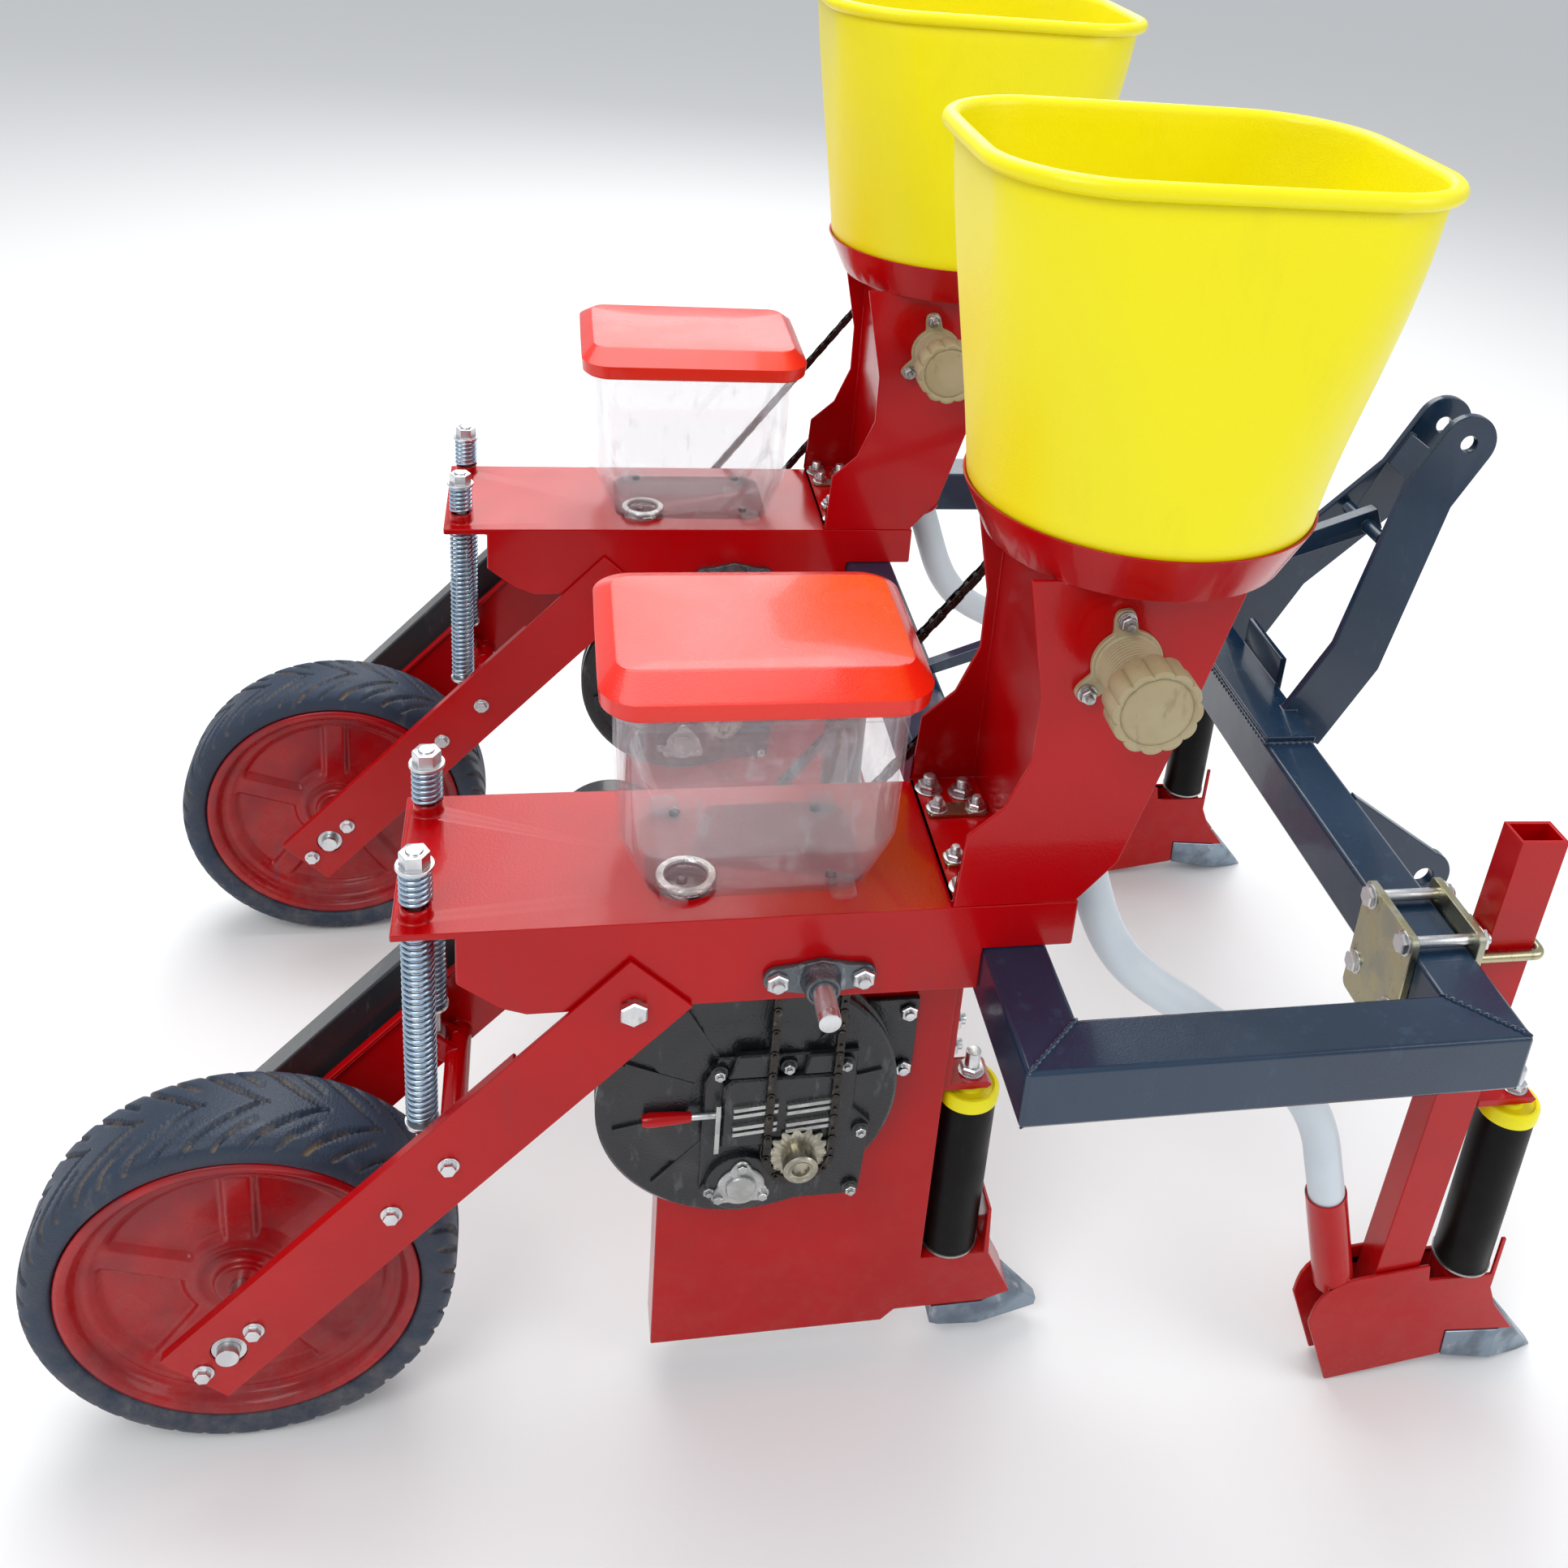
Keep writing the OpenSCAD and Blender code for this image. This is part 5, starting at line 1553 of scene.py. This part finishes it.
    def cap(self, row: Row) -> None:
        """The scalloped cap: its radius swells in twelve round lobes and its face is slightly domed."""
        count = 240
        lobe = np.abs(np.cos(angles(count) * self.LOBES / 2)) ** 0.6
        ring = circle(count)
        stack = [(0.0, -0.1805, 0), (0.016, -0.1808, 0), (0.027, -0.1805, 0), (0.0295, -0.1800, 0),
                 (0.0305, -0.1790, 0), (0.0318, -0.1815, 0.3), (0.0335, -0.1820, 0.8), (0.0345, -0.1812, 1),
                 (0.0350, -0.1795, 1), (0.0350, -0.1540, 1), (0.0343, -0.1522, 1), (0.0310, -0.1515, 0.4),
                 (0.0300, -0.1500, 0), (0.0300, -0.1432, 0), (0.0282, -0.1430, 0), (0.0282, -0.1550, 0),
                 (0.0102, -0.1555, 0), (0.0102, -0.1740, 0), (0.0, -0.1742, 0)]
        grid = np.stack([place((r + 0.0035 * k * lobe)[:, None] * ring, np.full(count, at), Axis.Y)
                         for r, at, k in stack])
        shape = Shape.grid(grid).moved(row.dose[0], row.y, row.dose[1])
        self.fit(build(f"dose_adjuster_cap_{row.side}", shape, 40), "tan_moulding", f"cap_{row.side}",
                 [f"adjuster_cap_{row.side}"])

    def bases(self) -> None:
        """The threaded adjuster bases with three eared flanges, and their bolts."""
        bases, bolts = [], []
        for row in self.rows:
            a = angles(144)
            ears = [math.radians(k) for k in (100, 220, 340)]
            bump = sum(np.exp(-(np.abs((a - e + math.pi) % TURN - math.pi) / 0.26) ** 4) for e in ears)
            outline = (0.031 + 0.020 * bump)[:, None] * circle(144)
            centre = (row.dose[0], row.y, row.dose[1])
            bases.append(prism(outline, -0.104, -0.098, Axis.Y, 0.001).moved(*centre))
            thread = [(0.0270 - 0.0009 * (k % 2), -0.142 + 0.0019 * k) for k in range(20)]
            bases.append(lathe([(0.0103, -0.142)] + thread + [(0.0290, -0.103), (0.0103, -0.100)],
                               centre, Axis.Y, 64, True))
            for e in ears:
                at = (centre[0] + 0.042 * math.cos(e), row.y, centre[2] + 0.042 * math.sin(e))
                bolts.append(rod(at, -0.106, -0.104, 0.0085, edge=0.0004))
                bolts.append(nut(at, -0.113, 0.007, 0.0072, Axis.Y))
                bolts.append(rod(at, -0.118, -0.112, 0.0036, edge=0.0008, count=20))
        self.fit(build("adjuster_base_castings", together(bases), 30), "tan_moulding", "root",
                 ["adjuster_bases"])
        self.fit(build("adjuster_base_bolts", together(bolts)), "bright_casting", "root")

    def make(self) -> None:
        """Builds the metering parts of both rows."""
        for row in self.rows:
            self.drum(row)
            self.gearbox(row)
            self.cap(row)
        self.bases()


class Rollers(Assembly):
    """Anti-wrap rollers: a black sleeve with a yellow cap at its top."""

    CAP = 0.016

    def roller(self, node: str) -> None:
        """One roller: the sleeve and its cap, both turned round the rod; its body has its name."""
        low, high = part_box(node)
        x, y, r = (low.x + high.x) / 2, (low.y + high.y) / 2, (high.x - low.x) / 2
        z0, z1, bore = low.z, high.z, 0.0083
        sleeve = lathe([(bore, z0), (r - 0.004, z0), (r - 0.001, z0 + 0.001), (r - 0.0006, z0 + 0.004),
                        (r - 0.0008, z1 - self.CAP), (bore, z1 - self.CAP)], (x, y, 0), Axis.Z, 64, True)
        under = z1 - self.CAP
        cap = lathe([(bore, under + 0.0002), (r, under + 0.0002), (r + 0.001, under + 0.001),
                     (r + 0.001, z1 - 0.003), (r - 0.001, z1), (r - 0.004, z1), (r - 0.006, z1 - 0.003),
                     (0.014, z1 - 0.004), (0.012, z1), (bore, z1)], (x, y, 0), Axis.Z, 64, True)
        ring = lathe([(r - 0.0035, z0 - 0.0015), (r + 0.0004, z0 - 0.0015), (r + 0.0006, z0 + 0.0012),
                      (r - 0.0035, z0 + 0.0012)], (x, y, 0), Axis.Z, 64, True)
        self.fit(build(f"{node}_sleeve", sleeve), "roller_sleeve", node, [node])
        self.fit(build(f"{node}_cap", cap), "yellow_moulding", node)
        self.fit(build(f"{node}_foot_ring", ring), "bright_casting", node)

    def make(self) -> None:
        """Builds all four rollers."""
        for row in self.rows:
            for kind in ("seed_roller", "fert_roller"):
                self.roller(f"{kind}_{row.side}")


def bolt(at: Sequence[float], head: float, tip: float, radius: float, axis: Axis) -> Shape:
    """A bolt through two faces: washer and hexagon head at one, washer, nut and tip at the other.

    Args:
        at: Point on its axis.
        head: Face under the head, along the axis.
        tip: Face under the nut.
        radius: Radius of its shank.
        axis: Direction of its axis.

    Returns:
        The bolt.
    """
    way = 1 if tip > head else -1
    thick, wide = 0.9 * radius, 1.75 * radius

    def span(start: float, length: float) -> tuple[float, float]:
        """The two ends in rising order."""
        return (start, start + length) if length > 0 else (start + length, start)

    parts = [rod(at, *span(head, -way * 0.0015), wide * 1.15, axis, 28, 0.0003),
             rod(at, *span(tip, way * 0.0015), wide * 1.15, axis, 28, 0.0003)]
    low, high = span(head - way * 0.0015, -way * thick)
    parts.append(nut(at, low, high - low, wide, axis))
    low, high = span(tip + way * 0.0015, way * thick)
    parts.append(nut(at, low, high - low, wide, axis))
    low, high = span(head, tip - head + way * (thick + 0.005))
    parts.append(rod(at, low, high, radius * 0.96, axis, 24, 0.0008))
    return together(parts)


class Clamps(Assembly):
    """What holds the openers and the units on the frame: plates, U-bolts and bolts."""

    RIM = 0.008

    def shank_clamp(self, y: float) -> tuple[list[Shape], list[Shape]]:
        """One clamp on the front tube.

        Args:
            y: Sideways place of its opener.

        Returns:
            Its plates with the U-bolt, and its four clamp bolts.
        """
        low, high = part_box("main_frame")
        back, front, top, bottom = high.x - 0.060, high.x, high.z, low.z
        outline = soft_rectangle(0.064, 0.048, self.RIM, 56)[:, ::-1] + (y, 0.558)
        plates = [prism(outline, back - 0.008, back - 0.0001, Axis.X, 0.0008),
                  prism(outline, front + 0.0001, front + 0.008, Axis.X, 0.0008)]
        saddle = soft_rectangle(0.018, 0.020, 0.003, 40) + (y, 0.578)
        plates.append(prism(saddle, front + 0.008, front + 0.032, Axis.X, 0.0012))
        turn = np.linspace(0, math.pi / 2, 9)
        arc = np.stack([np.sin(turn), 1 - np.cos(turn)], -1) * 0.009
        leg, span = front + 0.090 - 0.009, 0.024
        half = np.vstack([[(front + 0.004, span)], np.stack([leg + arc[:, 0], span - arc[:, 1]], -1)])
        path = np.vstack([half, half[::-1] * (1, -1)])
        line = resample(np.column_stack([path[:, 0], y + path[:, 1], np.full(len(path), 0.578)]), 0.004)
        plates.append(tube(line, 0.005, 20, (0, 0, 1)))
        bolts = [bolt((0, y + side * 0.034, z), back - 0.008, front + 0.008, 0.006, Axis.X)
                 for side in (-1, 1) for z in (top + 0.009, bottom - 0.009)]
        return plates, bolts

    def foot(self, y: float) -> tuple[list[Shape], list[Shape]]:
        """The stand's foot strips with their studs, and the bolts of one unit.

        Args:
            y: Sideways place of the unit.

        Returns:
            Its strips and its bolts.
        """
        top = 0.653
        strips, bolts = [], []
        for side in (-1, 1):
            outline = soft_rectangle(0.029, 0.010, 0.004, 40) + (0.073, y + side * 0.038)
            strips.append(prism(outline, top, top + 0.004, Axis.Z, 0.0005))
            for x in (0.054, 0.092):
                bolts.append(self.stud((x, y + side * 0.038, top + 0.004), 0.005))
            for x, reach in ((0.085, 0.068), (0.054, 0.076)):
                bolts.append(self.stud((x, y + side * reach, top), 0.0065))
        for z in (0.408, 0.476):
            bolts.append(nut((0.030, y, z), -0.0385, 0.0050, 0.0088, Axis.Y))
            bolts.append(rod((0.030, y, z), -0.042, -0.032, 0.0048, edge=0.0008, count=20))
        return strips, bolts

    def stud(self, at: Sequence[float], radius: float) -> Shape:
        """A threaded end that stands on a plate, with its washer and nut."""
        wide = radius * 1.75
        thread = [(radius * (0.96 if k % 2 else 0.88), 0.0010 * k) for k in range(1, int(radius * 2600))]
        tip = thread[-1][1]
        end = [(radius * 0.7, tip + 0.0012), (0.0001, tip + 0.0014)]
        return together([rod(at, 0, 0.0015, wide * 1.2, Axis.Z, 28, 0.0003),
                         nut(at, 0.0015, radius, wide, Axis.Z),
                         lathe([(0.0001, 0.0005)] + thread + end, at, Axis.Z, 20)])

    def make(self) -> None:
        """Builds all the clamps: plated sheet in one piece, bolts in another."""
        sheet, bright = [], []
        for row in self.rows:
            for plates, bolts in (self.shank_clamp(row.fert_y), self.foot(row.y)):
                sheet += plates
                bright += bolts
        self.fit(build("clamp_plates", together(sheet), 30), "yellow_zinc_plate", "root", ["frame_clamps"])
        self.fit(build("clamp_bolts", together(bright), 30), "zinc_plate", "root")


class RollerPosts(Assembly):
    """Posts of the anti-wrap rollers: rod, bent bracket, nuts and bolts."""

    def post(self, x: float, y: float, foot: float, top: float, z: float,
             bracket: Array, width: float) -> tuple[list[Shape], Shape]:
        """One post.

        Args:
            x: Forward place of the rod.
            y: Sideways place of the rod.
            foot: Lower end of the rod.
            top: Upper end of the rod.
            z: Top of the bracket's level leg.
            bracket: Side outline of the bracket, as (x, z).
            width: Half of the bracket's width.

        Returns:
            Its bright pieces and its bracket.
        """
        at = (x, y, 0)
        bright = [rod(at, foot, top, 0.0078, Axis.Z, 28, 0.0012),
                  rod(at, z, z + 0.0015, 0.0135, Axis.Z, 28, 0.0003),
                  nut(at, z + 0.0015, 0.0075, 0.0125, Axis.Z)]
        return bright, prism(bracket, -width, width, Axis.Y, 0.001).moved(x, y)

    def make(self) -> None:
        """Builds the four posts."""
        bright, red = [], []
        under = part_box("main_frame")[0].z
        for row in self.rows:
            bent = np.array([(-0.034, 0.356), (0.014, 0.356), (0.018, 0.360), (0.014, 0.364),
                             (-0.026, 0.364), (-0.026, under), (-0.034, under)])
            parts, bracket = self.post(row.seed_x, row.y, 0.122, 0.390, 0.364, bent, 0.018)
            bright += parts
            red.append(bracket)
            for z in (0.400, 0.432):
                bright.append(nut((row.seed_x, row.y, z), -0.026, 0.0065, 0.0105, Axis.X))
                bright.append(rod((row.seed_x, row.y, z), -0.026, -0.014, 0.0055, Axis.X, 20))
            flat = np.array([(-0.048, 0.378), (0.014, 0.378), (0.018, 0.382), (0.014, 0.386),
                             (-0.048, 0.386)])
            parts, bracket = self.post(row.fert_x, row.fert_y, 0.112, 0.412, 0.386, flat, 0.016)
            bright += parts
            red.append(bracket)
        self.fit(build("roller_post_rods", together(bright), 30), "zinc_plate", "root", ["roller_rods"])
        self.fit(build("roller_post_brackets", together(red), 30), "red_enamel", "root")


class Bearings(Assembly):
    """Flange bearings of the drive shafts, with their bolts."""

    def make(self) -> None:
        """Builds a cast flange with its hub on each side of both beams."""
        castings, bolts = [], []
        for row in self.rows:
            at = (row.drive[0], row.y, row.drive[1])
            for side in (-1, 1):
                lug = soft_rectangle(0.050, 0.0125, 0.0122, 96)
                bulge = 1 + 0.55 * np.exp(-((lug[:, :1] / 0.022) ** 4)) * (np.abs(lug[:, 1:]) > 0.004)
                outline = lug * np.hstack([np.ones_like(bulge), bulge])
                a, b = sorted((side * 0.0982, side * 0.1045))
                castings.append(prism(outline, a, b, Axis.Y, 0.001).moved(*at))
                hub = [(0.0103, 0.1040), (0.0185, 0.1045), (0.0178, 0.1090), (0.0162, 0.1120),
                       (0.0160, 0.1190), (0.0150, 0.1215), (0.0128, 0.1220), (0.0118, 0.1205),
                       (0.0103, 0.1200)]
                if side > 0:
                    hub = [(0.0103, 0.1040), (0.0180, 0.1045), (0.0175, 0.1070), (0.0160, 0.1080),
                           (0.0103, 0.1080)]
                castings.append(lathe([(r, side * t) for r, t in hub], at, Axis.Y, 40, True))
                for d in (-0.038, 0.038):
                    spot = (at[0] + d, row.y, at[2])
                    c, e = sorted((side * 0.1045, side * 0.1110))
                    bolts.append(nut(spot, c, e - c, 0.0105, Axis.Y))
                    c, e = sorted((side * 0.1105, side * 0.1155))
                    bolts.append(rod(spot, c, e, 0.0056, Axis.Y, 20, 0.0012))
        self.fit(build("bearing_castings", together(castings), 30), "dark_casting", "root",
                 ["shaft_bearings"])
        self.fit(build("bearing_bolts", together(bolts), 30), "zinc_plate", "root")


class Welds(Assembly):
    """Weld beads on the frame: along the mitres and round the mast's feet."""

    BEAD = 0.0028

    def bead(self, start: Sequence[float], end: Sequence[float]) -> Shape:
        """A bead whose radius swells and shrinks like the ripples of a weld."""
        a, b = np.asarray(start, float), np.asarray(end, float)
        n = max(24, int(np.linalg.norm(b - a) / 0.0011))
        t = np.linspace(0, 1, n)
        ripple = 1 + 0.16 * np.cos(t * n * 0.9) + 0.08 * np.sin(t * 17)
        ends = np.minimum(1, np.minimum(t, 1 - t) * n / 6 + 0.25)
        across = (0.31, 0.17, 0.93) if abs(b[2] - a[2]) < 0.01 else (1, 0, 0)
        return tube(a + (b - a) * t[:, None], self.BEAD * ripple * ends, 8, across)

    def make(self) -> None:
        """Builds the beads of the four corners and of the mast's foot plate."""
        low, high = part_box("main_frame")
        side = 0.060
        beads = []
        for x, ix in ((low.x, 1), (high.x, -1)):
            for y, iy in ((low.y, 1), (high.y, -1)):
                outer, inner = (x + ix * 0.002, y + iy * 0.002), (x + ix * side, y + iy * side)
                for z in (low.z, high.z):
                    beads.append(self.bead((*outer, z), (*inner, z)))
                beads.append(self.bead((*inner, low.z), (*inner, high.z)))
        foot = high.x - side
        beads.append(self.bead((foot, -0.165, high.z), (foot, 0.165, high.z)))
        for y in (-0.165, 0.165):
            beads.append(self.bead((foot, y, high.z), (high.x, y, high.z)))
        self.fit(build("frame_weld_beads", together(beads), 60), "navy_enamel", "root")


def main() -> None:
    """Builds the camera and hoses, then the pieces, then the studio."""
    logging.basicConfig(level=logging.INFO, format="%(message)s")
    for obj in list(bpy.data.objects):
        bpy.data.objects.remove(obj)
    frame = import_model()
    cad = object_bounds()
    paints = Paints()
    rows = [Row.read("r"), Row.read("l")]
    Viewpoint().make()
    for kind in (Hoses, Wheels, Springs, Drive, Metering, Rollers, RollerPosts, Bearings, Clamps,
                 Welds, Hoppers, SeedBoxes, Steelwork):
        kind(frame, paints, rows).make()
    Studio().make(*cad)


if __name__ == "__main__":
    main()
